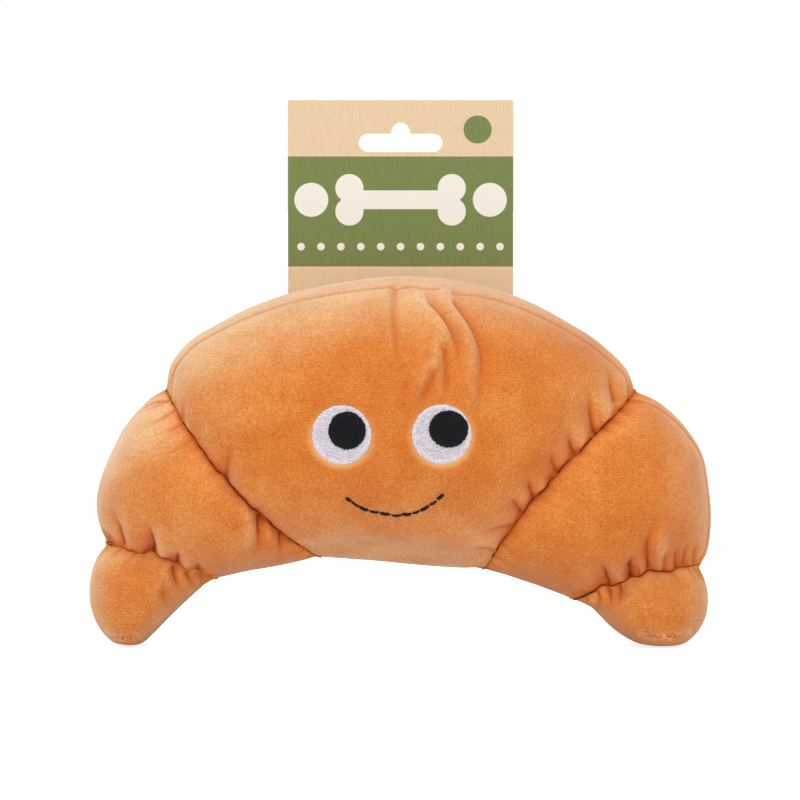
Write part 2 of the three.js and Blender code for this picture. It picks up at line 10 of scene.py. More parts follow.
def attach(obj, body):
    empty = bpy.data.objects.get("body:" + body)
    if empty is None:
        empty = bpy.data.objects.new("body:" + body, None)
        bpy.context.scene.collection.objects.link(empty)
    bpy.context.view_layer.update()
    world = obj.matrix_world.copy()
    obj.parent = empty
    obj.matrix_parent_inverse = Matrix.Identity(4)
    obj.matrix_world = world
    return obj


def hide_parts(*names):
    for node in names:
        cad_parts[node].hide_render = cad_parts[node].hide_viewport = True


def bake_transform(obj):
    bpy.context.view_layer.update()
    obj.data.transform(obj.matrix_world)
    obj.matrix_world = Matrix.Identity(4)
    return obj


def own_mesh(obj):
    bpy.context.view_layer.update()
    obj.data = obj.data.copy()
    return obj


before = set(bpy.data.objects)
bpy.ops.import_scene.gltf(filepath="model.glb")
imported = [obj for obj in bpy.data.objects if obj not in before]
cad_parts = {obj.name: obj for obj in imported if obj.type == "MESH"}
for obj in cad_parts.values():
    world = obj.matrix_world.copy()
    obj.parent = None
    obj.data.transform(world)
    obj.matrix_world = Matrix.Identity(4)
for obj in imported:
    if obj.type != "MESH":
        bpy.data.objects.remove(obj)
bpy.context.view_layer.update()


# Squeaker: a moulded plastic bellows with a reed in its collar, buried in the filling behind the face.
# Its plates, folded wall and reed parts keep the frame's shapes. All are of one milky plastic.

def paint(red, green, blue):
    """A colour as it is seen, 0 to 255, in the linear values that a shader takes."""
    seen = np.array([red, green, blue]) / 255
    linear = np.where(seen <= 0.04045, seen / 12.92, ((seen + 0.055) / 1.055) ** 2.4)
    return (*linear.tolist(), 1.0)


def shader(name):
    """A new material, its node tree and its surface shader."""
    material = bpy.data.materials.new(name)
    material.use_nodes = True
    return material, material.node_tree, material.node_tree.nodes["Principled BSDF"]


def fill(tree, sockets, values):
    """Sets the named sockets to values, or links them to what comes out of other nodes."""
    for name, value in values.items():
        if isinstance(value, bpy.types.NodeSocket):
            tree.links.new(value, sockets[name])
        else:
            sockets[name].default_value = value


def node(tree, kind, inputs=None, **settings):
    """A node with its settings made and its inputs filled."""
    made = tree.nodes.new(kind)
    for name, value in settings.items():
        setattr(made, name, value)
    fill(tree, made.inputs, inputs or {})
    return made


def object_place(tree, stretch=(1, 1, 1)):
    """Object coordinates, scaled along each axis."""
    place = node(tree, "ShaderNodeTexCoord").outputs["Object"]
    return node(tree, "ShaderNodeMapping", {"Vector": place, "Scale": stretch}).outputs["Vector"]


def noise(tree, place, scale, detail=3.0, roughness=0.55):
    """The strength of a noise of that scale at a place."""
    inputs = {"Vector": place, "Scale": scale, "Detail": detail, "Roughness": roughness}
    return node(tree, "ShaderNodeTexNoise", inputs).outputs["Fac"]


def ramp(tree, strength, stops):
    """Colours or values picked by a strength, from (place, colour) stops."""
    made = node(tree, "ShaderNodeValToRGB", {"Fac": strength})
    band = made.color_ramp
    while len(band.elements) < len(stops):
        band.elements.new(0.5)
    for element, (place, tone) in zip(band.elements, stops):
        element.position = place
        element.color = tone if isinstance(tone, tuple) else (tone, tone, tone, 1.0)
    return made.outputs["Color"]


def mixed(tree, share, first, second, how="MIX"):
    """Two colours mixed by a share."""
    inputs = {0: share, 6: first, 7: second}
    return node(tree, "ShaderNodeMix", inputs, data_type="RGBA", blend_type=how).outputs[2]


def bumped(tree, surface, height, strength, distance, under=None):
    """Gives the surface fine relief from a height, on top of an earlier relief."""
    inputs = {"Height": height, "Strength": strength, "Distance": distance}
    if under is not None:
        inputs["Normal"] = under
    relief = node(tree, "ShaderNodeBump", inputs).outputs["Normal"]
    tree.links.new(relief, surface.inputs["Normal"])
    return relief


def moulded_plastic(name, pale, deep, roughness):
    """Milky moulded plastic with faint flow clouds and a fine moulding grain."""
    material, tree, surface = shader(name)
    place = object_place(tree)
    clouds = ramp(tree, noise(tree, place, 140.0), [(0.3, deep), (0.7, pale)])
    fill(tree, surface.inputs, {"Base Color": clouds, "Roughness": roughness, "Specular IOR Level": 0.45})
    bumped(tree, surface, noise(tree, place, 1800.0, 2.0), 0.12, 0.0002)
    return material


def coated(material, *parts):
    """Gives one material to parts that keep the frame's shapes."""
    for part in parts:
        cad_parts[part].data.materials.clear()
        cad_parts[part].data.materials.append(material)


coated(moulded_plastic("milky_plastic", paint(244, 241, 232), paint(230, 226, 214), 0.42),
       "squeaker_cap", "squeaker_base", "squeaker_bellows", "reed_tube", "reed_bed", "reed_clamp", "reed")
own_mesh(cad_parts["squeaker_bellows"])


# Centre lobe: the body of the croissant, a front and a back panel of short-pile plush sewn over the crown and
# under the belly, and stuffed hard. A dart and soft folds run down from the crown seam above the face.

CAMERA_AWAY = 2400.0
CAMERA_HEIGHT = 82.7
CAMERA_DIP = math.radians(2.2)
SECTION_FULLNESS = 2.2
DRAW_IN = 2.6
DRAW_REACH = 8.0
STUFFING_STEPS = 20
rng = np.random.default_rng(21)


def run_along(points):
    """How far along a line each of its points lies."""
    return np.concatenate([[0], np.cumsum(np.linalg.norm(np.diff(points, axis=0), axis=1))])


def places_at(where, run, line):
    """Places on a line, each so far along it."""
    return np.stack([np.interp(where, run, line[:, i]) for i in range(line.shape[1])], 1)


def smooth_path(points, count):
    """Evenly spaced points on a smooth line through the given ones."""
    points = np.array(points, float)
    knots = run_along(points)
    slopes = np.gradient(points, knots, axis=0)
    dense = np.linspace(0, knots[-1], 40 * len(points))
    leg = np.clip(np.searchsorted(knots, dense, side="right") - 1, 0, len(knots) - 2)
    length = (knots[leg + 1] - knots[leg])[:, None]
    t = (dense - knots[leg])[:, None] / length
    line = (1 + 2 * t) * (1 - t) ** 2 * points[leg] + t * (1 - t) ** 2 * length * slopes[leg]
    line += t * t * (3 - 2 * t) * points[leg + 1] + t * t * (t - 1) * length * slopes[leg + 1]
    run = run_along(line)
    return places_at(np.linspace(0, run[-1], count), run, line)


def stations(count, crowding):
    """Places along a lobe from 0 to 1, closer together at both seams."""
    s = np.linspace(0, 1, count)
    return s - crowding * np.sin(2 * np.pi * s) / (2 * np.pi)


def power_curve(turn):
    """A cosine or sine made fuller, for a section between an ellipse and a box."""
    return np.sign(turn) * np.abs(turn) ** (2 / SECTION_FULLNESS)


def lobe_rings(edges, half_depth, places, sides):
    """Rings along a lobe, each from its outer to its inner edge, swelling to half_depth front and back."""
    steps = 400
    even = np.linspace(0, 1, steps)
    out, inn = [places_at(places, even, smooth_path(edge, steps)) for edge in edges]
    turn = np.linspace(0, 2 * np.pi, sides, endpoint=False)
    across, deep = power_curve(np.cos(turn)), power_curve(np.sin(turn))
    middle, half = (out + inn) / 2, (out - inn) / 2
    x = middle[:, :1] + half[:, :1] * across
    z = middle[:, 1:] + half[:, 1:] * across
    y = half_depth(places)[:, None] * deep
    return np.stack([x, y, z], 2)


def runs(rings):
    """How far each point is from the first ring and from the last, along the lobe."""
    steps = np.linalg.norm(np.diff(rings, axis=0), axis=2)
    first = np.concatenate([np.zeros((1, rings.shape[1])), np.cumsum(steps, axis=0)])
    return first, first[-1] - first


def unit(vectors):
    """Vectors made one long."""
    return vectors / np.maximum(np.linalg.norm(vectors, axis=-1, keepdims=True), 1e-9)


def outward(rings, ends):
    """Unit normals of a lobe's rings, pointing out, and in the plane of the ring at a sewn end."""
    level_reach = 9.0
    along = np.gradient(rings, axis=0)
    around = np.roll(rings, -1, axis=1) - np.roll(rings, 1, axis=1)
    normals = unit(np.cross(around, along))
    away = rings - rings.mean(axis=1, keepdims=True)
    if (normals * away).sum() < 0:
        normals = -normals
    width = rings[:, 0] - rings[:, rings.shape[1] // 2]
    across = unit(np.cross(width, (0, 1, 0)))
    level = normals - (normals @ across[:, :, None]) * across[:, None, :]
    for run, end in zip(runs(rings), ends):
        if end:
            near = np.exp(-(run / level_reach) ** 2)[:, :, None]
            normals = normals * (1 - near) + level * near
    return unit(normals)


def pulled(sides):
    """How hard a seam pulls round a lobe: most at front and back, a little outside, least inside."""
    outside, inside, fullness = 0.14, 0.02, 0.9
    turn = np.linspace(0, 2 * np.pi, sides, endpoint=False)
    flank = np.abs(np.sin(turn)) ** fullness
    return flank + (1 - flank) * np.where(np.cos(turn) > 0, outside, inside)


def drawn_in(rings, ends):
    """Pulls a lobe in towards its sewn ends, with a rounded shoulder."""
    normals = outward(rings, ends)
    depth = DRAW_IN * pulled(rings.shape[1])
    for run, end in zip(runs(rings), ends):
        if end:
            share = np.clip(1 - run / DRAW_REACH, 0, 1)
            rings = rings - normals * (depth * share ** 2)[:, :, None]
    return rings


# Each seam: its outer and inner end as seen, how far it bows, how the bow leans, and how far off it is felt.
seams = {
    "left_upper": ((-79.1, 86.7), (-27.0, 29.8), 4.2, 0.0, 26.0),
    "right_upper": ((79.1, 86.4), (27.7, 25.8), -3.4, -0.5, 26.0),
    "left_tip": ((-99.6, 34.9), (-61.0, 22.8), -2.2, 0.0, 14.0),
    "right_tip": ((101.6, 27.9), (57.5, 15.3), -2.8, 0.0, 14.0),
}


def sewn_edges(edges, first, last=None):
    """The outer and the inner edge of a lobe, from the ends of its first seam to the ends of its last."""
    lines = []
    for at, edge in enumerate(edges):
        start = [seams[first][at]]
        stop = [seams[last][at]] if last else []
        lines.append(start + edge + stop)
    return lines


def bowed(points, seam, wander=0.0):
    """Bows a seam and what lies near it off the line between its ends, or lets it wander from its bow."""
    outer, inner, bow, lean, spread = seams[seam]
    outer, inner = np.array(outer), np.array(inner)
    length = np.linalg.norm(outer - inner)
    along = (outer - inner) / length
    away = np.array([along[1], -along[0]]) * np.sign(outer[0])
    offset = points[..., [0, 2]] - (outer + inner) / 2
    place = np.clip(2 * (offset @ along) / length, -1, 1)
    bulge = bow * (1 - place ** 2) * (1 + lean * place)
    if wander:
        long_wave, middle_wave, short_wave, reach = 17.0, 9.0, 5.3, 5.0
        run = np.pi * place * length
        sway = (np.sin(run / long_wave + bow) + 0.7 * np.sin(run / middle_wave + 2 * bow)
                + 0.5 * np.sin(run / short_wave))
        shift = wander * sway * (1 - place ** 2) * np.exp(-((offset @ away - bulge) / reach) ** 2)
    else:
        shift = bulge * np.exp(-((offset @ away) / spread) ** 2)
    moved = points.copy()
    moved[..., 0] += shift * away[0]
    moved[..., 2] += shift * away[1]
    return moved


def ring_faces(count, sides):
    """The numbers of points on rings, of the next point round each ring, and the faces between rings."""
    index = np.arange(count * sides).reshape(count, sides)
    nxt = np.roll(index, -1, axis=1)
    return index, nxt, np.stack([index[:-1], nxt[:-1], nxt[1:], index[1:]], 2).reshape(-1, 4).tolist()


def placed(name, data):
    """A new object in the scene."""
    piece = bpy.data.objects.new(name, data)
    bpy.context.scene.collection.objects.link(piece)
    return piece


def stuffed(rings, ends, slack):
    """Blows a lobe up from inside as a cloth simulation with its sewn ends held, and keeps the puckers."""
    count, sides = rings.shape[:2]
    index, _, quads = ring_faces(count, sides)
    mesh = bpy.data.meshes.new("stuffing")
    caps = [index[0].tolist()[::-1], index[-1].tolist()]
    mesh.from_pydata((rings.reshape(-1, 3) / 1000).tolist(), [], quads + caps)
    cover = placed("stuffing", mesh)
    held = cover.vertex_groups.new(name="held")
    held.add(np.concatenate([index[0], index[-1]]).tolist(), 1.0, "REPLACE")
    gathered = cover.vertex_groups.new(name="gathered")
    gather_reach = 10.0
    near = np.zeros((count, sides))
    for run, end in zip(runs(rings), ends):
        if end:
            near = np.maximum(near, np.exp(-run / gather_reach))
    levels, half_step = np.linspace(0.05, 1.0, 20), 0.025
    for level in levels:
        chosen = index[np.abs(near - level) <= half_step]
        gathered.add(chosen.tolist(), float(level), "REPLACE")
    cloth = cover.modifiers.new("filling", "CLOTH")
    fabric = {"quality": 6, "mass": 0.15, "tension_stiffness": 18, "compression_stiffness": 12,
              "shear_stiffness": 4, "bending_stiffness": 0.02, "use_pressure": True,
              "uniform_pressure_force": 4, "vertex_group_mass": "held", "vertex_group_shrink": "gathered",
              "shrink_min": 0.0, "shrink_max": -slack}
    for name, value in fabric.items():
        setattr(cloth.settings, name, value)
    cloth.settings.effector_weights.gravity = 0
    cloth.collision_settings.use_collision = False
    cloth.point_cache.frame_start = 1
    cloth.point_cache.frame_end = STUFFING_STEPS
    for step in range(1, STUFFING_STEPS + 1):
        bpy.context.scene.frame_set(step)
    filled = cover.evaluated_get(bpy.context.evaluated_depsgraph_get()).data
    places = np.empty(count * sides * 3, np.float32)
    filled.vertices.foreach_get("co", places)
    bpy.data.objects.remove(cover)
    bpy.context.scene.frame_set(1)
    normals = outward(rings, ends)
    rise = ((places.reshape(count, sides, 3) * 1000 - rings) * normals).sum(axis=2)
    broad = rise.copy()
    smoothings, pucker_limit, swell_share, swell_limit = 24, 2.0, 0.25, 1.0
    for _ in range(smoothings):
        ends_kept = np.concatenate([broad[:1], broad, broad[-1:]])
        broad = (ends_kept[:-2] + ends_kept[2:] + np.roll(broad, 1, 1) + np.roll(broad, -1, 1)) / 4
    puckers = np.clip(rise - broad, -pucker_limit, pucker_limit)
    swell = np.clip(swell_share * broad, -swell_limit, swell_limit)
    return rings + normals * (puckers + swell)[:, :, None]


def finer(rings, times, closed):
    """Rings with times as many steps along the first axis, on smooth curves through the points."""
    if closed:
        padded = np.concatenate([rings[-1:], rings, rings[:2]])
    else:
        padded = np.concatenate([2 * rings[:1] - rings[1:2], rings, 2 * rings[-1:] - rings[-2:-1]])
    a, b, c, d = (padded[i:len(padded) - 3 + i] for i in range(4))
    steps = []
    for f in np.arange(times) / times:
        curve = 2 * b + (c - a) * f + (2 * a - 5 * b + 4 * c - d) * f ** 2 + (3 * b - a - 3 * c + d) * f ** 3
        steps.append(0.5 * curve)
    dense = np.stack(steps, 1).reshape(-1, *rings.shape[1:])
    return dense if closed else np.concatenate([dense, rings[-1:]])


def refined(rings, times):
    """A lobe's rings with times as many points both ways."""
    along = finer(rings, times, False)
    return finer(along.swapaxes(0, 1), times, True).swapaxes(0, 1)


def seen(points):
    """Where points fall in the plane of the picture, in millimetres."""
    near = CAMERA_AWAY / (CAMERA_AWAY + points[..., 1])
    x = points[..., 0] * near
    z = (points[..., 2] + points[..., 1] * math.sin(CAMERA_DIP) - CAMERA_HEIGHT) * near + CAMERA_HEIGHT
    return np.stack([x, z], -1)


def fold(rings, line, depth, width, ridge):
    """Relief and painted crease shade of a soft fold along a line as seen: a valley with a ridge on one side.
    """
    flat = seen(rings).reshape(-1, 2)
    line = smooth_path(line, 14) if len(line) > 2 else np.linspace(line[0], line[1], 8)
    best = np.full(len(flat), 1e9)
    side = np.zeros(len(flat))
    place = np.zeros(len(flat))
    for i in range(len(line) - 1):
        span = line[i + 1] - line[i]
        offset = flat - line[i]
        t = np.clip(offset @ span / (span @ span), 0, 1)
        gap = np.linalg.norm(offset - t[:, None] * span, axis=1)
        closer = gap < best
        best = np.where(closer, gap, best)
        side = np.where(closer, np.sign(offset[:, 0] * span[1] - offset[:, 1] * span[0]), side)
        place = np.where(closer, (i + t) / (len(line) - 1), place)
    steep_side, slack_side, ridge_off, ridge_spread = 0.8, 1.9, 2.2, 1.4
    tail, rounding, line_width, full_depth = 1.8, 0.5, 0.75, 2.4
    taper = np.clip(tail * (1 - place), 0, 1)
    fall = np.sqrt(best ** 2 + rounding ** 2) - rounding
    valley = -depth * np.exp(-fall / np.where(side > 0, steep_side * width, slack_side * width))
    swell = ridge * depth * np.exp(-((best * side - ridge_off * width) / (ridge_spread * width)) ** 2)
    relief = ((valley + swell) * taper).reshape(rings.shape[:2])
    crease_shade = (np.exp(-(best / line_width) ** 2) * taper).reshape(rings.shape[:2])
    front = rings[..., 1] < 0
    return np.where(front, relief, 0), np.where(front, crease_shade * min(depth / full_depth, 1.0), 0)


def gathers(run, ring, pitch, depth, reach):
    """Relief and painted crease shade of small pleats that run out from a sewn ring, each of its own length
    and depth.
    """
    unevenness, rounding, line_width, full_depth = 0.32, 0.5, 0.8, 2.2
    front_share, back_gain, blend_depth = 0.7, 1.3, 12.0
    loop = run_along(np.concatenate([ring, ring[:1]]))
    place, total = loop[:-1], loop[-1]
    count = max(int(total / pitch), 4)
    relief, crease_shade = np.zeros(run.shape), np.zeros(run.shape)
    for at in (np.arange(count) + rng.uniform(-unevenness, unevenness, count)) * total / count:
        gap = np.abs(place - at % total)
        gap = np.minimum(gap, total - gap)
        behind = np.clip(0.5 + ring[np.argmin(gap), 1] / blend_depth, 0, 1)
        deep = depth * rng.uniform(0.4, 1.2) * (front_share + back_gain * behind)
        fade = np.exp(-(run / (reach * rng.uniform(0.4, 1.3))) ** 1.6)
        fall = np.sqrt(gap ** 2 + rounding ** 2) - rounding
        relief -= deep * np.exp(-fall / rng.uniform(1.1, 2.0)) * fade
        crease_shade = np.maximum(crease_shade, np.exp(-(gap / line_width) ** 2) * fade * min(deep / full_depth, 1.0))
    return relief, crease_shade


def panel_seam(rings, normals, back):
    """The relief of the sewn line between front and back panel, and how near each point is to it."""
    crown_line, line_drop, half_span, under_arch = -20.0, 9.0, 90.0, -3.0
    wing_start, wing_blend = 78.0, 14.0
    groove_depth, groove_width, dip_depth, dip_width = 0.5, 0.75, 0.2, 3.0
    reach = np.abs(rings[..., 0])
    over_crown = crown_line + line_drop * np.clip(reach / half_span, 0, 1.1) ** 2
    line = over_crown + back * np.clip((reach - wing_start) / wing_blend, 0, 1)
    facing_out = normals[..., 2] * 0.6 + normals[..., 0] * np.sign(rings[..., 0])
    outside = np.clip((facing_out - 0.05) / 0.35, 0, 1)
    line = outside * line + under_arch * (1 - outside)
    steep = np.sqrt(np.clip(1 - normals[..., 1] ** 2, 0.05, 1))
    gap = (rings[..., 1] - line) / steep
    near = np.exp(-(gap / groove_width) ** 2)
    return -groove_depth * near - dip_depth * np.exp(-(gap / dip_width) ** 2), near


def highlight_and_wear(normals):
    """How much highlight is painted on the pile: most where the plush faces up towards the lamps, and some,
    as painted sheen, where it faces aside.
    """
    upward, most_above, most_beside = np.array([-0.42, 0, 0.907]), 0.85, 0.3
    up = np.clip((normals @ upward - 0.34) / 0.62, 0, 1)
    beside = np.clip((np.abs(normals[..., 0]) - 0.45) / 0.55, 0, 1)
    return np.maximum(most_above * up * up * (3 - 2 * up), most_beside * beside)


def sewn_up(rings, ends, pleats, folds, seam_back, wear_and_sheen, dents=0.0):
    """A stuffed lobe with its pleats, folds and sewn lines, and the marks on its points that tone it."""
    normals = outward(rings, ends)
    relief, crease_shade = np.zeros(rings.shape[:2]) - dents, np.zeros(rings.shape[:2])
    seam_run = np.full(rings.shape[:2], 1e3)
    for run, end, ring, pleat in zip(runs(rings), ends, (rings[0], rings[-1]), pleats):
        if end:
            rise, line = gathers(run, ring, *pleat)
            relief += rise
            crease_shade = np.maximum(crease_shade, line)
            seam_run = np.minimum(seam_run, run)
    for given in folds:
        rise, line = fold(rings, *given)
        relief += rise
        crease_shade = np.maximum(crease_shade, line)
    groove, sewn = panel_seam(rings, normals, seam_back)
    relief += groove

    def by_seam(reach):
        """One at a sewn end, and nearly none at twice the reach from it."""
        return np.exp(-(seam_run / reach) ** 2)

    # Painted shade deepens the tone where the relief sinks, and a painted highlight pales it on raised
    # ridges.
    sunk = 0.2 * np.clip(-relief - 0.4, 0, 2)
    ridge_highlights = 0.22 * np.clip(relief, 0, 2)
    fold_shade = (0.55 + 0.45 * by_seam(14.0)) * crease_shade
    behind = np.clip((rings[..., 1] + 6.0) / 24.0, 0, 1)
    # Marks: painted shade on seam lines, the panel seam, folds and sunk relief; less sheen in the hollows;
    # painted highlight with some wear; painted fill light beside the seams.
    marks = {
        "crease_shade": np.maximum.reduce([0.55 * by_seam(0.6), 0.5 * sewn, fold_shade, sunk]),
        "hollow": np.maximum(by_seam(6.0), crease_shade),
        "highlight_and_wear": highlight_and_wear(normals) * (1 - 0.5 * behind) + wear_and_sheen + ridge_highlights,
        # Painted fill light: paler on the slopes a few millimetres from each seam, where its drawn-in valley
        # is shaded.
        "flank": by_seam(8.0) - by_seam(1.3),
    }
    valley = by_seam(0.8)
    rise = relief * (1 - valley) - 0.5 * pulled(rings.shape[1]) * valley
    return rings + normals * rise[:, :, None], marks


def faced_out(mesh):
    """Turns the faces of a closed mesh outward and shades them smooth."""
    work = bmesh.new()
    work.from_mesh(mesh)
    bmesh.ops.recalc_face_normals(work, faces=work.faces)
    work.to_mesh(mesh)
    work.free()
    mesh.shade_smooth()


def plush_piece(name, rings, marks):
    """A closed plush lobe from its rings, with marks such as the share of painted crease shade kept on its
    points.
    """
    count, sides = rings.shape[:2]
    index, nxt, faces = ring_faces(count, sides)
    points = rings.reshape(-1, 3)
    for ring, flip in ((0, True), (count - 1, False)):
        hub = len(points)
        points = np.concatenate([points, rings[ring].mean(axis=0)[None]])
        fan = np.stack([index[ring], nxt[ring], np.full(sides, hub)], 1)
        faces += (fan[:, ::-1] if flip else fan).tolist()
    mesh = bpy.data.meshes.new(name)
    mesh.from_pydata((points / 1000).tolist(), [], faces)
    mesh.validate()
    faced_out(mesh)
    for mark, share in marks.items():
        kept = mesh.attributes.new(mark, "FLOAT", "POINT")
        share = np.concatenate([np.clip(share, 0, 1).reshape(-1), [0.0, 0.0]])
        kept.data.foreach_set("value", share.astype(np.float32))
    mesh.materials.append(plush)
    return placed(name, mesh)


def marked(tree, mark):
    """The share of a mark that a piece keeps on its points."""
    return node(tree, "ShaderNodeAttribute", attribute_name=mark).outputs["Fac"]


def plush_pile(name):
    """Short-pile plush: fine pile, mottled nap, faint knit rows, painted shade in the creases, painted
    highlight on the crown and painted fill light beside the seams.
    """
    material, tree, surface = shader(name)
    place = object_place(tree)
    nap = noise(tree, place, 60.0, 4.0, 0.62)
    tufts = noise(tree, place, 1000.0, 2.0, 0.6)
    pile = noise(tree, object_place(tree, (0.75, 1.0, 1.25)), 2100.0, 1.0, 0.5)
    knit = {"Vector": object_place(tree, (0.12, 0.0, 1.0)), "Scale": 340.0, "Distortion": 3.0, "Detail": 2.0,
            "Detail Scale": 3.0}
    rows = node(tree, "ShaderNodeTexWave", knit, wave_type="BANDS", bands_direction="Z").outputs["Fac"]
    rows = ramp(tree, rows, [(0.2, (0.93, 0.88, 0.82, 1.0)), (0.8, (1.05, 1.08, 1.12, 1.0))])
    patches = ramp(tree, noise(tree, place, 24.0, 1.0), [(0.45, 0.0), (0.62, 0.5)])
    tones = [(0.30, paint(212, 117, 41)), (0.52, paint(220, 130, 51)), (0.74, paint(227, 147, 72))]
    # Painted highlight: the tone is mixed towards pale orange, and the sheen raised, where the mark read here
    # is high. On the feet this mark also carries pale tufts.
    lit = mixed(tree, 1.0, marked(tree, "highlight_and_wear"), ramp(tree, nap, [(0.35, 0.72), (0.65, 1.25)]), "MULTIPLY")
    tone = mixed(tree, lit, ramp(tree, nap, tones), paint(236, 184, 121))
    grain = [(0.28, (0.83, 0.66, 0.46, 1.0)), (0.72, (1.10, 1.22, 1.46, 1.0))]
    tone = mixed(tree, 0.5, tone, ramp(tree, tufts, grain), "MULTIPLY")
    tone = mixed(tree, 1.0, tone, ramp(tree, pile, grain), "MULTIPLY")
    tone = mixed(tree, patches, tone, rows, "MULTIPLY")
    # Painted fill light: paler where the mark read here is high.
    tone = mixed(tree, marked(tree, "flank"), tone, (1.18, 1.32, 1.58, 1.0), "MULTIPLY")
    # Paler where the pile stands up round the eyes, and painted light just under the tip seams.
    tone = mixed(tree, marked(tree, "pale_halo_and_painted_light"), tone, paint(250, 192, 118))
    crease_shade = marked(tree, "crease_shade")
    # Painted shade: the tone goes towards deep orange, then brown, as the crease mark grows.
    tone = mixed(tree, ramp(tree, crease_shade, [(0.0, 0.0), (0.5, 0.85)]), tone, paint(204, 98, 28))
    tone = mixed(tree, ramp(tree, crease_shade, [(0.45, 0.0), (1.0, 0.9)]), tone, paint(140, 62, 20))
    # Sheen rises with the painted highlight and is cut in seam hollows and creases as painted shade.
    bloom = ramp(tree, lit, [(0.0, 0.45), (0.8, 1.0)])
    sheen = mixed(tree, marked(tree, "hollow"), bloom, (0.04, 0.04, 0.04, 1.0))
    fill(tree, surface.inputs, {"Base Color": tone, "Roughness": 0.95, "Specular IOR Level": 0.05,
                                "Sheen Weight": sheen, "Sheen Roughness": 0.55,
                                "Sheen Tint": (1.0, 0.85, 0.67, 1.0)})
    relief = bumped(tree, surface, tufts, 0.18, 0.0005)
    bumped(tree, surface, pile, 0.25, 0.0003, relief)
    return material


plush = plush_pile("short_pile_plush")

# The crown and the belly between the two upper seams, as seen.
centre_edges = ([(-77.0, 95.0), (-72.1, 101.4), (-60.0, 109.3), (-41.2, 117.4), (-18.0, 122.6), (1.5, 124.3),
                 (18.3, 123.1), (38.5, 117.7), (55.6, 109.3), (68.0, 101.1), (76.0, 93.0)],
                [(-7.6, 28.9), (13.9, 26.9)])


def centre_depth(place):
    """Half the depth of the centre lobe, fullest in the middle and narrower at its seams."""
    swell = np.clip(1 - (2 * place - 1) ** 2, 0, 1) ** 0.62
    at_seam, fullest = 33.0, 50.0
    return at_seam + (fullest - at_seam) * swell


def patch(x, z, at, spread):
    """A soft round spot, one in its middle."""
    return np.exp(-((x - at[0]) / spread[0]) ** 2 - ((z - at[1]) / spread[1]) ** 2)


FINER_TIMES = 4
centre_edges = sewn_edges(centre_edges, "left_upper", "right_upper")
centre = lobe_rings(centre_edges, centre_depth, stations(66, crowding=0.55), sides=96)
centre = drawn_in(bowed(bowed(centre, "left_upper"), "right_upper"), (True, True))
centre = refined(stuffed(centre, (True, True), slack=0.10), FINER_TIMES)
# Each fold: its line as seen, its depth, its width and the share of its ridge.
centre_folds = [
    ([(-2.3, 120.0), (-2.2, 107.5), (-1.2, 98.8), (-0.6, 92.5)], 1.7, 0.7, 0.4),
    ([(9.9, 116.1), (13.7, 112.2), (17.2, 106.7), (19.6, 99.5), (20.2, 90.5)], 2.5, 1.25, 0.8),
    ([(18.5, 116.6), (22.3, 111.4), (25.7, 105.0), (27.4, 99.0), (27.4, 92.1), (27.0, 84.0), (25.6, 76.5)],
     2.6, 1.6, 0.8),
    ([(14.9, 99.8), (15.5, 93.1), (14.9, 80.5)], 2.1, 1.2, 0.8),
    ([(11.2, 91.5), (8.8, 85.3), (5.8, 78.5)], 1.8, 1.3, 0.7),
    ([(-74.0, 76.0), (-73.8, 83.0)], 1.1, 1.5, 0.6),
    ([(-59.4, 57.0), (-58.4, 62.0), (-57.2, 68.5)], 1.5, 1.8, 0.6),
    ([(72.6, 83.0), (71.1, 89.0), (69.5, 93.5)], 1.8, 1.5, 0.6),
    ([(65.6, 71.2), (64.8, 79.1), (63.0, 86.7)], 2.6, 1.7, 0.8),
    ([(58.4, 63.2), (57.7, 67.9), (56.1, 73.0)], 2.4, 1.6, 0.7),
    ([(52.8, 56.9), (51.5, 62.3), (50.9, 66.8)], 2.2, 1.6, 0.7),
    ([(44.8, 48.9), (43.7, 53.6), (42.5, 57.4)], 2.4, 1.7, 0.7),
    ([(40.6, 44.5), (38.7, 47.4), (36.3, 50.2)], 2.2, 1.7, 0.6),
    ([(37.5, 39.9), (31.9, 38.7), (26.6, 37.4)], 1.5, 1.7, 0.5),
    ([(30.1, 31.5), (23.2, 32.8)], 1.2, 1.6, 0.4),
]
# Each eye: its middle as seen and its radius, and the middle and radii of its pupil.
eyes = {
    "left": ((-19.8, 71.0), 9.85, (-17.9, 72.5), (6.15, 6.2)),
    "right": ((13.8, 71.2), 9.9, (16.1, 73.0), (6.5, 6.05)),
}
EYE_SUNK = 0.7
EYE_ROUNDING = 5.0
PARTED_WIDTH = 1.5
dents, pale_halo_and_painted_light = np.zeros(centre.shape[:2]), np.zeros(centre.shape[:2])
for eye_at, eye_radius, _, _ in eyes.values():
    offset = seen(centre) - np.array(eye_at)
    edge = np.linalg.norm(offset, axis=2) - eye_radius
    front = centre[..., 1] < 0
    dents += np.where(front, EYE_SUNK * np.clip(0.5 - edge / EYE_ROUNDING, 0, 1), 0)
    low = 0.55 - 0.45 * offset[..., 1] / eye_radius
    pale_halo_and_painted_light = np.maximum(pale_halo_and_painted_light, np.where(front, low * np.exp(-(edge / PARTED_WIDTH) ** 2), 0))
x, z = centre[..., 0], centre[..., 2]
# Painted highlight and sheen: the pile is painted paler along the belly, over the lower face and on both
# shoulders, and less pale to the left of the dart.
wear_and_sheen = 0.42 * np.exp(-((z - 26.0) / 15.0) ** 2 - (x / 42.0) ** 4)
wear_and_sheen += 0.1 * np.clip((62.0 - z) / 20.0, 0, 1)
wear_and_sheen += 0.16 * patch(np.abs(x), z, (57.0, 76.0), (8.0, 11.0))
wear_and_sheen -= 0.15 * patch(x, z, (-12.0, 103.0), (13.0, 9.0))
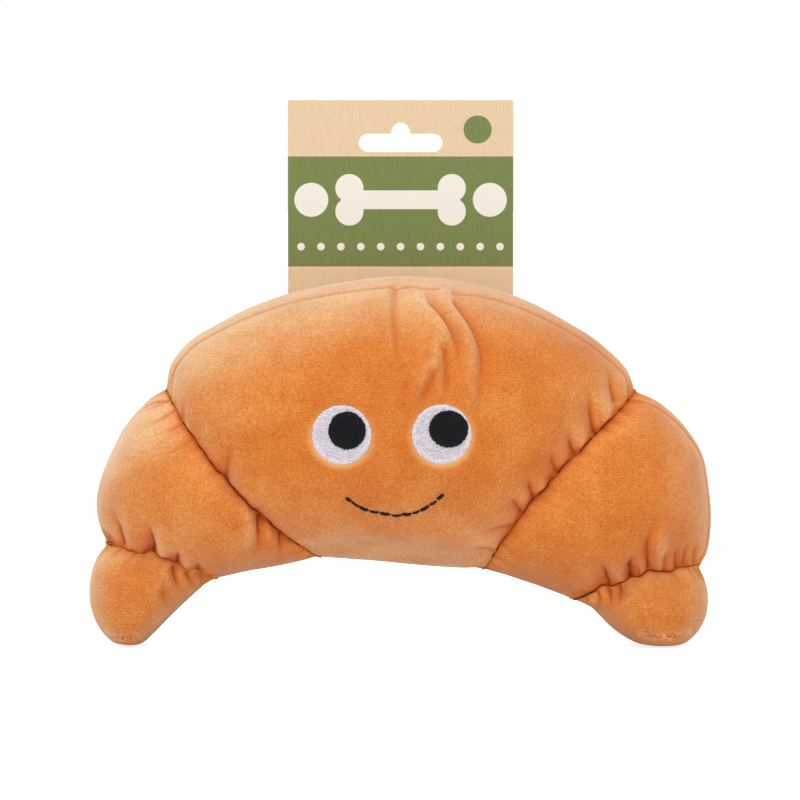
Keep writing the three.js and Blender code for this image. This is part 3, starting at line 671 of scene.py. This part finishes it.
# The pleats at each sewn end: how far apart, how deep and how long they are.
centre_pleats = ((9.0, 0.9, 8.0), (8.0, 1.0, 9.0))
centre, centre_marks = sewn_up(centre, (True, True), centre_pleats, centre_folds, 0.0, wear_and_sheen, dents)
# Painted shade darkens the plush round and between the eyes, and painted light makes it paler beside the
# right wing, with less painted shade there.
shade_round_eyes = 0.19 * patch(centre[..., 0], centre[..., 2], (-5.0, 76.0), (17.0, 17.0))
shade_round_eyes = np.where(centre[..., 1] < 0, shade_round_eyes, 0)
centre_marks["crease_shade"] = np.maximum(centre_marks["crease_shade"], shade_round_eyes)
beside_right_wing = np.exp(-(runs(centre)[1] / 9.0) ** 2)
centre_marks["flank"] += 0.35 * beside_right_wing
centre_marks["crease_shade"] *= 1 - 0.3 * beside_right_wing
centre = bowed(bowed(centre, "left_upper", 0.25), "right_upper", 0.2)
centre_lobe = plush_piece("centre_lobe", centre, {**centre_marks, "pale_halo_and_painted_light": pale_halo_and_painted_light})
seam_rings = {"left_upper": centre[0], "right_upper": centre[-1]}
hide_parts("centre_front_panel", "centre_back_panel", "centre_filling", "face_pad")
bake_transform(centre_lobe)


# Wings: the two stuffed arms of the croissant, each a front and a back panel of the same plush, gathered into
# the drawn-in upper seam and into the tip seam.

# Each wing's outer and inner edge between its upper seam and its tip seam, as seen.
wing_edges = {
    "left": ([(-86.5, 81.0), (-93.2, 72.9), (-97.3, 64.8), (-100.6, 56.8), (-102.4, 47.0), (-101.6, 40.7)],
             [(-39.8, 27.9), (-50.6, 25.9)]),
    "right": ([(88.2, 81.0), (96.3, 72.9), (101.3, 64.8), (103.6, 54.0), (104.4, 42.7), (103.6, 34.0)],
              [(35.4, 23.4), (46.2, 19.8)]),
}
wing_folds = {
    "left": [
        ([(-78.6, 83.0), (-88.2, 78.0)], 0.9, 1.4, 0.7),
        ([(-76.0, 79.6), (-87.6, 72.6)], 1.0, 1.4, 0.7),
        ([(-72.6, 75.6), (-83.1, 70.4)], 1.0, 1.4, 0.7),
        ([(-68.6, 70.4), (-77.4, 65.0)], 0.8, 1.4, 0.7),
        ([(-47.7, 45.1), (-47.3, 37.1), (-48.2, 29.6)], 2.8, 1.5, 0.6),
        ([(-40.8, 39.5), (-39.5, 34.6), (-41.3, 28.6)], 2.2, 1.4, 0.5),
        ([(-93.6, 34.4), (-97.4, 46.5)], 1.9, 1.5, 0.6),
        ([(-97.9, 34.6), (-101.2, 40.0)], 1.4, 1.3, 0.5),
        ([(-83.3, 30.0), (-85.2, 42.0)], 2.6, 1.5, 0.7),
        ([(-75.6, 25.9), (-75.0, 32.4)], 2.4, 1.5, 0.6),
        ([(-69.0, 23.6), (-67.5, 28.0)], 1.5, 1.3, 0.5),
    ],
    "right": [
        ([(83.5, 25.4), (83.8, 34.6), (85.9, 43.1)], 2.8, 1.6, 0.8),
        ([(77.4, 22.4), (78.3, 30.6)], 2.8, 1.6, 0.8),
        ([(80.7, 21.5), (79.5, 27.9)], 1.6, 1.3, 0.5),
        ([(88.5, 26.0), (89.3, 33.0)], 1.6, 1.3, 0.6),
        ([(92.6, 26.7), (94.0, 34.0)], 1.8, 1.3, 0.7),
        ([(95.6, 27.6), (97.4, 35.7)], 1.6, 1.2, 0.6),
        ([(98.9, 28.4), (100.3, 35.6)], 1.4, 1.2, 0.5),
        ([(70.9, 19.8), (67.0, 28.4)], 2.6, 1.7, 0.7),
        ([(74.0, 80.5), (79.5, 76.8)], 0.9, 1.3, 0.7),
        ([(70.6, 77.2), (75.6, 73.8)], 0.9, 1.3, 0.7),
        ([(67.3, 73.6), (72.0, 71.6)], 0.8, 1.3, 0.6),
    ],
}


def wing_depth(place):
    """Half the depth of a wing, from its upper seam down to its tip seam."""
    at_upper_seam, at_tip_seam, swell = 33.0, 19.0, 9.5
    return at_upper_seam + (at_tip_seam - at_upper_seam) * place + swell * (4 * place * (1 - place)) ** 0.65


for side, way in (("left", -1), ("right", 1)):
    edges = sewn_edges(wing_edges[side], f"{side}_upper", f"{side}_tip")
    # The left wing is painted a little paler all over, as painted highlight.
    seam_back, wear_and_sheen, wander = (6.0, 0.08, 0.25) if side == "left" else (0.0, 0.0, 0.2)
    wing = lobe_rings(edges, wing_depth, stations(30, crowding=0.5), sides=84)
    wing = drawn_in(bowed(bowed(wing, f"{side}_upper"), f"{side}_tip"), (True, True))
    wing = refined(stuffed(wing, (True, True), slack=0.12), FINER_TIMES)
    wing_pleats = ((7.0, 1.1, 9.0), (6.0, 1.4, 9.0))
    wing, wing_marks = sewn_up(wing, (True, True), wing_pleats, wing_folds[side], seam_back, wear_and_sheen)
    wing = bowed(bowed(wing, f"{side}_upper", wander), f"{side}_tip", 0.65)
    # Painted fill light: the wings are painted a little paler than the centre, but less so near the upper
    # seam, as painted shade there.
    paler, shaded, shade_reach = 0.12, 0.28, 6.0
    wing_marks["flank"] += paler - shaded * np.exp(-(runs(wing)[0] / shade_reach) ** 2)
    piece = plush_piece(f"{side}_wing", wing, wing_marks)
    seam_rings[f"{side}_tip"] = wing[-1]
    nodes = [f"{side}_wing_{part}" for part in ("front_panel", "back_panel", "filling")]
    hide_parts(*nodes)
    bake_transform(piece)


# Tips: the two stuffed feet that the toy stands on, pressed flat underneath, of the same plush. Each is
# gathered into its tip seam.

# Each tip's outer and inner edge from its seam to its toe, as seen.
tip_edges = {
    "left": ([(-103.0, 28.6), (-104.8, 20.0), (-104.4, 13.5), (-101.8, 6.8), (-97.3, 1.6), (-90.0, -0.6)],
             [(-66.7, 18.8), (-72.1, 14.4), (-77.8, 9.3), (-83.2, 3.9), (-86.8, 0.8), (-90.0, -0.6)]),
    "right": ([(103.2, 21.5), (103.7, 15.5), (102.6, 9.2), (99.6, 4.2), (94.5, 0.4), (88.0, -0.6)],
              [(61.5, 13.3), (64.6, 11.4), (67.2, 8.9), (71.0, 5.4), (76.0, 2.2), (82.0, 0.0),
               (88.0, -0.6)]),
}
tip_folds = {
    "left": [
        ([(-76.0, 26.4), (-73.8, 17.0)], 2.6, 1.4, 0.6),
        ([(-70.8, 25.2), (-68.4, 18.6)], 2.0, 1.3, 0.6),
        ([(-66.4, 24.0), (-64.6, 20.0)], 1.4, 1.2, 0.5),
        ([(-79.5, 17.6), (-78.6, 12.6)], 1.3, 1.3, 0.5),
    ],
    "right": [
        ([(69.2, 20.4), (70.1, 12.0)], 2.4, 1.3, 0.6),
        ([(73.1, 22.0), (72.7, 13.0)], 2.2, 1.3, 0.6),
        ([(65.7, 19.0), (66.6, 10.6)], 2.0, 1.3, 0.6),
        ([(62.2, 18.0), (63.0, 12.6)], 1.4, 1.2, 0.5),
        ([(99.5, 26.4), (103.7, 20.0)], 1.2, 1.2, 0.4),
    ],
}
# Each foot's seam, in two halves as seen, from the middle out.
foot_seams = {
    "left": ([(-93.5, 2.3), (-97.0, 3.2), (-99.8, 5.4)], [(-93.5, 2.3), (-90.9, 2.4), (-87.3, 4.0)]),
    "right": ([(87.9, 2.9), (83.2, 3.2), (79.2, 4.4)], [(87.9, 2.9), (92.6, 3.1), (96.4, 4.3), (98.2, 5.4)]),
}
tufted = np.random.default_rng(5)


def tip_depth(place):
    """Half the depth of a tip, a little narrower at its seam and round at its toe."""
    fullest, depth, narrowing = 0.3, 21.5, 2.5
    narrow = np.clip(1 - place / fullest, 0, 1) ** 2
    toe = np.clip((place - fullest) / (1 - fullest), 0, 1)
    return np.where(place < fullest, depth - narrowing * narrow, depth * np.sqrt(1 - toe ** 2))


for side, way in (("left", -1), ("right", 1)):
    ring_count, toe_end = 26, 0.992
    places = np.sin(0.5 * np.pi * np.linspace(0, 1, ring_count)) * toe_end
    tip = lobe_rings(sewn_edges(tip_edges[side], f"{side}_tip"), tip_depth, places, sides=68)
    tip = drawn_in(bowed(tip, f"{side}_tip"), (True, False))
    tip = refined(stuffed(tip, (True, False), slack=0.12), FINER_TIMES)
    # Pale tufts stand out here and there along the seam of the foot, and its line shows between them.
    halves = [fold(tip, half, depth=2.4, width=0.6, ridge=0.0) for half in foot_seams[side]]
    sunk = np.minimum(halves[0][0], halves[1][0])
    foot_line = np.maximum(halves[0][1], halves[1][1])
    ragged = tufted.random(tip.shape[:2])
    ragged = (ragged + np.roll(ragged, 1, 0) + np.roll(ragged, 1, 1) + np.roll(ragged, (1, 1), (0, 1))) / 4
    ragged = np.clip(3.2 * (ragged - 0.34), 0, 1)
    # A little painted highlight all over the tip, and pale tufts of the pile's own along the foot seam.
    wear_and_sheen = 0.1 + 0.75 * foot_line ** 0.25 * ragged
    tip_pleats = ((6.0, 1.4, 8.0), None)
    tip, tip_marks = sewn_up(tip, (True, False), tip_pleats, tip_folds[side], 8.0, wear_and_sheen, -0.15 * sunk)
    # Painted fill light: the tips are painted a little paler all over.
    tip_marks["flank"] += 0.1
    # Painted light: the plush just under the seam is painted paler, where the wing above shades it.
    painted_light_run, painted_light_spread = 2.0, 3.2
    tip_marks["pale_halo_and_painted_light"] = 0.5 * np.exp(-((runs(tip)[0] - painted_light_run) / painted_light_spread) ** 2)
    # Less painted shade in the tip's pleats and folds, and painted shade along the foot seam between the
    # tufts.
    tip_marks["crease_shade"] = np.maximum(0.7 * tip_marks["crease_shade"], 0.75 * foot_line ** 2 * (1 - ragged))
    tip = bowed(tip, f"{side}_tip", 0.65)
    # The sole is pressed flat where the toy stands on it.
    height, sole = tip[..., 2], 2.0
    tip[..., 2] = np.where(height < sole, sole * np.exp(np.minimum(height - sole, 0) / sole) * 0.98, height)
    piece = plush_piece(f"{side}_tip", tip, tip_marks)
    nodes = [f"{side}_tip_{part}" for part in ("front_panel", "back_panel", "filling")]
    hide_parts(*nodes)
    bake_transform(piece)


# Face: two round eyes in white and black embroidery, sunk a little into the plush, and a smile in black
# stitches. All are sewn through the face panel.

plush_mesh = centre_lobe.data
plush_tree = BVHTree.FromPolygons([v.co for v in plush_mesh.vertices],
                                  [f.vertices for f in plush_mesh.polygons])


def laid_on(places, lift):
    """Points on the plush behind places in the picture, lifted off it, all in millimetres."""
    away, above = CAMERA_AWAY * math.cos(CAMERA_DIP), CAMERA_AWAY * math.sin(CAMERA_DIP)
    lens_at = Vector((0, -away, CAMERA_HEIGHT + above)) / 1000
    found = []
    for x, z in places:
        toward = (Vector((x, 0, z)) / 1000 - lens_at).normalized()
        hit, normal, _, _ = plush_tree.ray_cast(lens_at, toward)
        found.append(np.array(hit + normal * lift / 1000) * 1000)
    return np.array(found)


def reckoned(tree, how, *values):
    """The result of a sum or a comparison, such as MULTIPLY or LESS_THAN."""
    return node(tree, "ShaderNodeMath", dict(enumerate(values)), operation=how).outputs[0]


def stitch_tree():
    """Turns each line of a mesh into a plump thread that thins at both ends."""
    tree = bpy.data.node_groups.new("thread_stitches", "GeometryNodeTree")
    sockets = tree.interface
    sockets.new_socket("Lines", in_out="INPUT", socket_type="NodeSocketGeometry")
    sockets.new_socket("Thread radius", in_out="INPUT", socket_type="NodeSocketFloat")
    sockets.new_socket("Thread", in_out="INPUT", socket_type="NodeSocketMaterial")
    sockets.new_socket("Stitches", in_out="OUTPUT", socket_type="NodeSocketGeometry")
    given = tree.nodes.new("NodeGroupInput").outputs
    line = node(tree, "GeometryNodeMeshToCurve", {"Mesh": given["Lines"]}).outputs["Curve"]
    line = node(tree, "GeometryNodeResampleCurve", {"Curve": line, "Count": 6}).outputs["Curve"]
    along = node(tree, "GeometryNodeSplineParameter").outputs["Factor"]
    from_middle = reckoned(tree, "MULTIPLY_ADD", along, 2.0, -1.0)
    plump = reckoned(tree, "MULTIPLY_ADD", reckoned(tree, "POWER", from_middle, 4.0), -0.6, 1.0)
    line = node(tree, "GeometryNodeSetCurveRadius", {"Curve": line, "Radius": plump}).outputs["Curve"]
    section = {"Resolution": 6, "Radius": given["Thread radius"]}
    section = node(tree, "GeometryNodeCurvePrimitiveCircle", section).outputs["Curve"]
    sweep = {"Curve": line, "Profile Curve": section, "Fill Caps": True}
    tube = node(tree, "GeometryNodeCurveToMesh", sweep).outputs["Mesh"]
    tube = node(tree, "GeometryNodeSetShadeSmooth", {"Geometry": tube}).outputs["Geometry"]
    tube = node(tree, "GeometryNodeRealizeInstances", {"Geometry": tube}).outputs["Geometry"]
    tube = node(tree, "GeometryNodeSetMaterial", {"Geometry": tube, "Material": given["Thread"]})
    tree.links.new(tube.outputs["Geometry"], tree.nodes.new("NodeGroupOutput").inputs["Stitches"])
    return tree


thread_stitches = stitch_tree()


def stitched(name, lines, radius, thread):
    """A piece of thread stitches, one along each line of points, in millimetres."""
    points, edges = [], []
    for line in lines:
        first = len(points)
        points += (np.array(line) / 1000).tolist()
        edges += [(i, i + 1) for i in range(first, len(points) - 1)]
    mesh = bpy.data.meshes.new(name)
    mesh.from_pydata(points, edges, [])
    piece = placed(name, mesh)
    sewing = piece.modifiers.new("sewing", "NODES")
    sewing.node_group = thread_stitches
    sockets = thread_stitches.interface.items_tree
    sewing[sockets["Thread radius"].identifier] = radius / 1000
    sewing[sockets["Thread"].identifier] = thread
    sewn_piece = piece.evaluated_get(bpy.context.evaluated_depsgraph_get())
    piece.data = bpy.data.meshes.new_from_object(sewn_piece)
    piece.modifiers.remove(sewing)
    bpy.data.meshes.remove(mesh)
    return piece


def merged(name, pieces):
    """One piece from several of the same thread."""
    work = bmesh.new()
    for piece in pieces:
        work.from_mesh(piece.data)
    kept = pieces[0]
    threads = list(kept.data.materials)
    kept.data = bpy.data.meshes.new(name)
    work.to_mesh(kept.data)
    work.free()
    for thread in threads:
        kept.data.materials.append(thread)
    for piece in pieces[1:]:
        bpy.data.objects.remove(piece)
    kept.name = name
    return kept


def embroidery_thread(name, tone, deep, sheen):
    """Twisted embroidery thread with a soft lustre."""
    material, tree, surface = shader(name)
    fibres = noise(tree, object_place(tree), 1500.0, 2.0, 0.7)
    twist = ramp(tree, fibres, [(0.36, deep), (0.62, tone)])
    fill(tree, surface.inputs, {"Base Color": twist, "Roughness": 0.6, "Specular IOR Level": 0.15,
                                "Sheen Weight": sheen})
    bumped(tree, surface, fibres, 0.4, 0.0002)
    return material


white_thread = embroidery_thread("white_thread", paint(236, 229, 235), paint(202, 193, 203), 0.2)
black_thread = embroidery_thread("black_thread", paint(20, 19, 24), paint(8, 8, 11), 0.0)


def embroidered_disc(name, middle_at, radii, thread, lift, grain_way, rim_width, bare=None):
    """A round patch of fill stitches on the plush, with a rim of satin stitches and none in a bare round."""
    (x0, z0), (rx, rz), widest = middle_at, radii, max(radii)
    rings, around, sunk = 9, 48, -1.2
    turn = np.linspace(0, 2 * np.pi, around, endpoint=False)
    layers = [(f, lift) for f in np.linspace(0.1, 1.0, rings)] + [(1.0, sunk)]
    places = [[(x0 + rx * f * math.cos(a), z0 + rz * f * math.sin(a)) for a in turn] for f, _ in layers]
    points = np.concatenate([laid_on(row, up) for row, (_, up) in zip(places, layers)])
    index, _, faces = ring_faces(len(layers), around)
    faces += [index[0].tolist()[::-1], index[-1].tolist()]
    mesh = bpy.data.meshes.new(name)
    mesh.from_pydata((points / 1000).tolist(), [], faces)
    faced_out(mesh)
    mesh.materials.append(thread)
    ground = placed(name, mesh)
    lines = []
    run = np.array([math.cos(grain_way), math.sin(grain_way)])
    cross = np.array([-math.sin(grain_way), math.cos(grain_way)])
    inside = 1 - 0.5 * rim_width / widest
    row_gap, stitch_gap, rim_gap, thread_radius = 0.42, 0.15, 0.36, 0.24
    for row in np.arange(-widest, widest, row_gap):
        start = -widest + rng.uniform(0, 2.4)
        while start < widest:
            end = start + rng.uniform(2.0, 3.0)
            ends = [middle_at + run * t + cross * (row + rng.uniform(-0.08, 0.08)) for t in (start, end)]
            middle = (ends[0] + ends[1]) / 2
            covered = bare is not None and np.linalg.norm((middle - bare[0]) / bare[1]) < 1
            if not covered and all(np.linalg.norm((e - middle_at) / radii) < inside for e in ends):
                lines.append((ends[0], middle, ends[1]))
            start = end + stitch_gap
    for a in np.arange(0, 2 * np.pi, rim_gap / widest):
        reach = rim_width * rng.uniform(0.85, 1.1)
        slant = a + 0.05
        jut = rng.uniform(-0.12, 0.22)
        tip_out = np.array([x0 + (rx + jut) * math.cos(a), z0 + (rz + jut) * math.sin(a)])
        tip_in = np.array([x0 + (rx - reach) * math.cos(slant), z0 + (rz - reach) * math.sin(slant)])
        lines.append((tip_out, (tip_out + tip_in) / 2, tip_in))
    threads = []
    for line in lines:
        ends = laid_on(line, lift + 0.02)
        ends[1] = laid_on([line[1]], lift + 0.22)[0]
        threads.append(ends)
    return merged(name, [ground, stitched(f"{name}_stitches", threads, thread_radius, thread)])


for side, (eye_at, eye_radius, pupil_at, pupil_radii) in eyes.items():
    white = embroidered_disc(f"{side}_eye_white", eye_at, (eye_radius, eye_radius), white_thread,
                             lift=0.15, grain_way=0.5, rim_width=1.5, bare=(pupil_at, pupil_radii))
    pupil = embroidered_disc(f"{side}_pupil", pupil_at, pupil_radii, black_thread,
                             lift=0.55, grain_way=1.2, rim_width=1.1)
    for piece, part, slot in ((white, "eye_white", "white_thread"), (pupil, "pupil", "black_thread")):
        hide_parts(f"{side}_{part}")
        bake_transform(piece)

smile = smooth_path([(-18.3, 49.7), (-15.0, 47.4), (-10.2, 45.4), (-6.9, 44.7), (-2.2, 44.0), (2.5, 44.4),
                     (6.6, 45.7), (10.9, 48.0), (14.3, 50.7)], 220)
smile_run = run_along(smile)
smile_length = smile_run[-1]


def on_smile(run, rise):
    """Places on the smile, run along it and rise above it."""
    x, z = (np.interp(run, smile_run, smile[:, i]) for i in (0, 1))
    return (x, z + rise)


mouth_lines = []
at = 0.0
while at < smile_length - 1.0:
    length = rng.uniform(1.5, 3.2)
    first, last = [on_smile(min(r, smile_length), rng.uniform(-0.3, 0.3)) for r in (at, at + length)]
    middle = ((first[0] + last[0]) / 2, (first[1] + last[1]) / 2)
    sewn_line = laid_on((first, middle, last), -0.05)
    sewn_line[1] = laid_on([middle], 0.4)[0]
    mouth_lines.append(sewn_line)
    at += length + rng.uniform(0.4, 1.1)
link = laid_on([on_smile(r, 0.0) for r in np.linspace(0.3, smile_length - 0.3, 60)], 0.02)
links = [link[i:i + 6] for i in range(0, 55, 5)]
THICK_THREAD = 0.58
MIDDLE_THREAD = 0.44
FINE_THREAD = 0.17
mouth = merged("mouth_stitching", [stitched("mouth_stitching", mouth_lines[::2], THICK_THREAD, black_thread),
                                   stitched("mouth_thinner", mouth_lines[1::2], MIDDLE_THREAD, black_thread),
                                   stitched("mouth_links", links, FINE_THREAD, black_thread)])
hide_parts("mouth_stitching")
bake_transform(mouth)


# Seam thread: black sewing thread that closes the two upper seams and the two tip seams and draws them in.
# It shows as short stitches in the valleys, and stays with the lobe above the seam.

# Each seam: the body that its thread stays with, the share of stitches that shows, how far they stand out.
threaded = {
    "left_upper": ("centre", 0.45, 0.25),
    "right_upper": ("centre", 0.55, 0.25),
    "left_tip": ("left_wing", 0.1, 0.05),
    "right_tip": ("right_wing", 0.12, 0.05),
}
for seam, (body, shown, proud) in threaded.items():
    ring = seam_rings[seam]
    ring = ring + unit(ring - ring.mean(axis=0)) * proud
    path = np.concatenate([ring, ring[:1]])
    path_run = run_along(path)
    seam_lines = []
    at = 0.0
    while at < path_run[-1] - 3.0:
        length = rng.uniform(1.2, 2.2)
        where = np.linspace(at, at + length, 3)
        if rng.uniform() < shown:
            seam_lines.append(places_at(where, path_run, path))
        at += length + rng.uniform(1.2, 2.6)
    sewing_thread = stitched(f"{seam}_seam_stitches", seam_lines, FINE_THREAD, black_thread)
    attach(sewing_thread, body)


# Header card: a printed card with a fine rib and a green band, pinned to the back of the crown by two plastic
# tag pins. The slot near its top takes a shop peg.

def ribbed_card(name):
    """Pale card with fine upright ribs, and a green band across it with a bone, balls and dots on it."""
    material, tree, surface = shader(name)
    place = object_place(tree)
    upright = {"Vector": place, "Scale": 420.0, "Distortion": 0.0}
    ribs = node(tree, "ShaderNodeTexWave", upright, wave_type="BANDS", bands_direction="X").outputs["Fac"]
    fibres = noise(tree, object_place(tree, (3.0, 1.0, 0.6)), 420.0, 3.0)
    kraft = ramp(tree, fibres, [(0.3, paint(226, 199, 161)), (0.7, paint(233, 208, 172))])
    kraft = mixed(tree, 0.5, kraft, ramp(tree, ribs, [(0.0, 0.94), (1.0, 1.04)]), "MULTIPLY")
    green = ramp(tree, fibres, [(0.3, paint(117, 131, 75)), (0.7, paint(125, 139, 83))])
    card_place = node(tree, "ShaderNodeSeparateXYZ", {"Vector": place}).outputs
    across, height = card_place["X"], card_place["Z"]
    flat = node(tree, "ShaderNodeCombineXYZ", {"X": across, "Z": height}).outputs["Vector"]

    def disc(x, z, radius, where=flat):
        """One where a round spot is printed."""
        gap = node(tree, "ShaderNodeVectorMath", {0: where, 1: (x, 0, z)}, operation="DISTANCE")
        return reckoned(tree, "LESS_THAN", gap.outputs["Value"], radius)

    def bar(x, z, half_width, half_height):
        """One where an upright box is printed."""
        beside = reckoned(tree, "ABSOLUTE", reckoned(tree, "SUBTRACT", across, x))
        above = reckoned(tree, "ABSOLUTE", reckoned(tree, "SUBTRACT", height, z))
        wide = reckoned(tree, "LESS_THAN", beside, half_width)
        high = reckoned(tree, "LESS_THAN", above, half_height)
        return reckoned(tree, "MULTIPLY", wide, high)

    band_foot, band_head, bone_row, dot_row, spot_row = 0.1267, 0.1643, 0.1495, 0.1335, 0.1735
    knob_radius, ball_radius, dot_radius, dot_half_pitch = 0.0048, 0.0058, 0.0013, 0.0034
    above = reckoned(tree, "GREATER_THAN", height, band_foot)
    below = reckoned(tree, "LESS_THAN", height, band_head)
    tone = mixed(tree, reckoned(tree, "MULTIPLY", above, below), kraft, green)
    printed = bar(0, bone_row, 0.0165, 0.0032)
    for x in (-0.0175, 0.0175):
        for z in (bone_row + 0.004, bone_row - 0.004):
            printed = reckoned(tree, "MAXIMUM", printed, disc(x, z, knob_radius))
    for x in (-0.0305, 0.0305):
        printed = reckoned(tree, "MAXIMUM", printed, disc(x, bone_row, ball_radius))
    repeat = reckoned(tree, "PINGPONG", across, dot_half_pitch)
    spotted = node(tree, "ShaderNodeCombineXYZ", {"X": repeat, "Z": height}).outputs["Vector"]
    printed = reckoned(tree, "MAXIMUM", printed, disc(0.0, dot_row, dot_radius, spotted))
    tone = mixed(tree, printed, tone, paint(240, 238, 228))
    tone = mixed(tree, disc(0.0263, spot_row, knob_radius), tone, green)
    fill(tree, surface.inputs, {"Base Color": tone, "Roughness": 0.8, "Specular IOR Level": 0.25})
    bumped(tree, surface, ribs, 0.12, 0.0002)
    return material


coated(ribbed_card("ribbed_card"), "header_card")
coated(moulded_plastic("clear_white_plastic", paint(247, 247, 245), paint(236, 236, 234), 0.3),
       "left_tag_pin", "right_tag_pin")


# Stage: a white floor under soft studio light, seen from the front through a long lens. The floor glows to
# the eye but sheds no light on the toy, so that it is white and still shows the toy's shadow.

def seen_directly(tree):
    """One for light that reaches the camera straight, or by way of a gloss or a clear piece."""
    rays = node(tree, "ShaderNodeLightPath").outputs
    direct = reckoned(tree, "MAXIMUM", rays["Is Camera Ray"], rays["Is Glossy Ray"])
    return reckoned(tree, "MAXIMUM", direct, rays["Is Transmission Ray"])


def stage_floor():
    """A broad white floor that shows the toy's shadow and is white to the camera elsewhere."""
    material, tree, surface = shader("white_floor")
    glow = reckoned(tree, "MULTIPLY", seen_directly(tree), 0.78)
    fill(tree, surface.inputs, {"Base Color": (0.86, 0.86, 0.86, 1.0), "Roughness": 0.9,
                                "Emission Strength": glow, "Emission Color": (1.0, 1.0, 1.0, 1.0)})
    mesh = bpy.data.meshes.new("floor")
    mesh.from_pydata([(-8, -4, 0), (8, -4, 0), (8, 12, 0), (-8, 12, 0)], [], [(0, 1, 2, 3)])
    mesh.materials.append(material)
    return placed("floor", mesh)


stage_floor()

world = bpy.data.worlds.new("studio")
bpy.context.scene.world = world
world.use_nodes = True
studio = world.node_tree
level = node(studio, "ShaderNodeMapRange", {"Value": seen_directly(studio), "To Min": 0.65, "To Max": 1.0})
fill(studio, studio.nodes["Background"].inputs, {"Color": (1.0, 1.0, 1.0, 1.0),
                                                 "Strength": level.outputs["Result"]})


def softbox(name, place, aim, size, power):
    """A large square lamp that looks at a point."""
    lamp = bpy.data.lights.new(name, "AREA")
    lamp.shape = "SQUARE"
    lamp.size = size
    lamp.energy = power
    stand = placed(name, lamp)
    stand.location = place
    stand.rotation_euler = (Vector(aim) - Vector(place)).to_track_quat("-Z", "Y").to_euler()


softbox("overhead", (-0.1, -0.45, 1.1), (0, 0, 0.08), 0.9, 4.6)
softbox("front_left", (-0.1, -1.45, 0.40), (0, 0, 0.07), 0.9, 5.2)

SENSOR_WIDTH = 36.0
PICTURE_WIDTH = 268.8
lens = bpy.data.cameras.new("long_lens")
lens.sensor_width = SENSOR_WIDTH
lens.lens = SENSOR_WIDTH * CAMERA_AWAY / PICTURE_WIDTH
lens.clip_end = 30.0
camera = placed("long_lens", lens)
aim = Vector((-0.0002, 0, CAMERA_HEIGHT / 1000))
back = Vector((0, -math.cos(CAMERA_DIP), math.sin(CAMERA_DIP))) * CAMERA_AWAY / 1000
camera.location = aim + back
camera.rotation_euler = (-back).to_track_quat("-Z", "Y").to_euler()
bpy.context.scene.camera = camera
bpy.context.scene.view_settings.view_transform = "Standard"
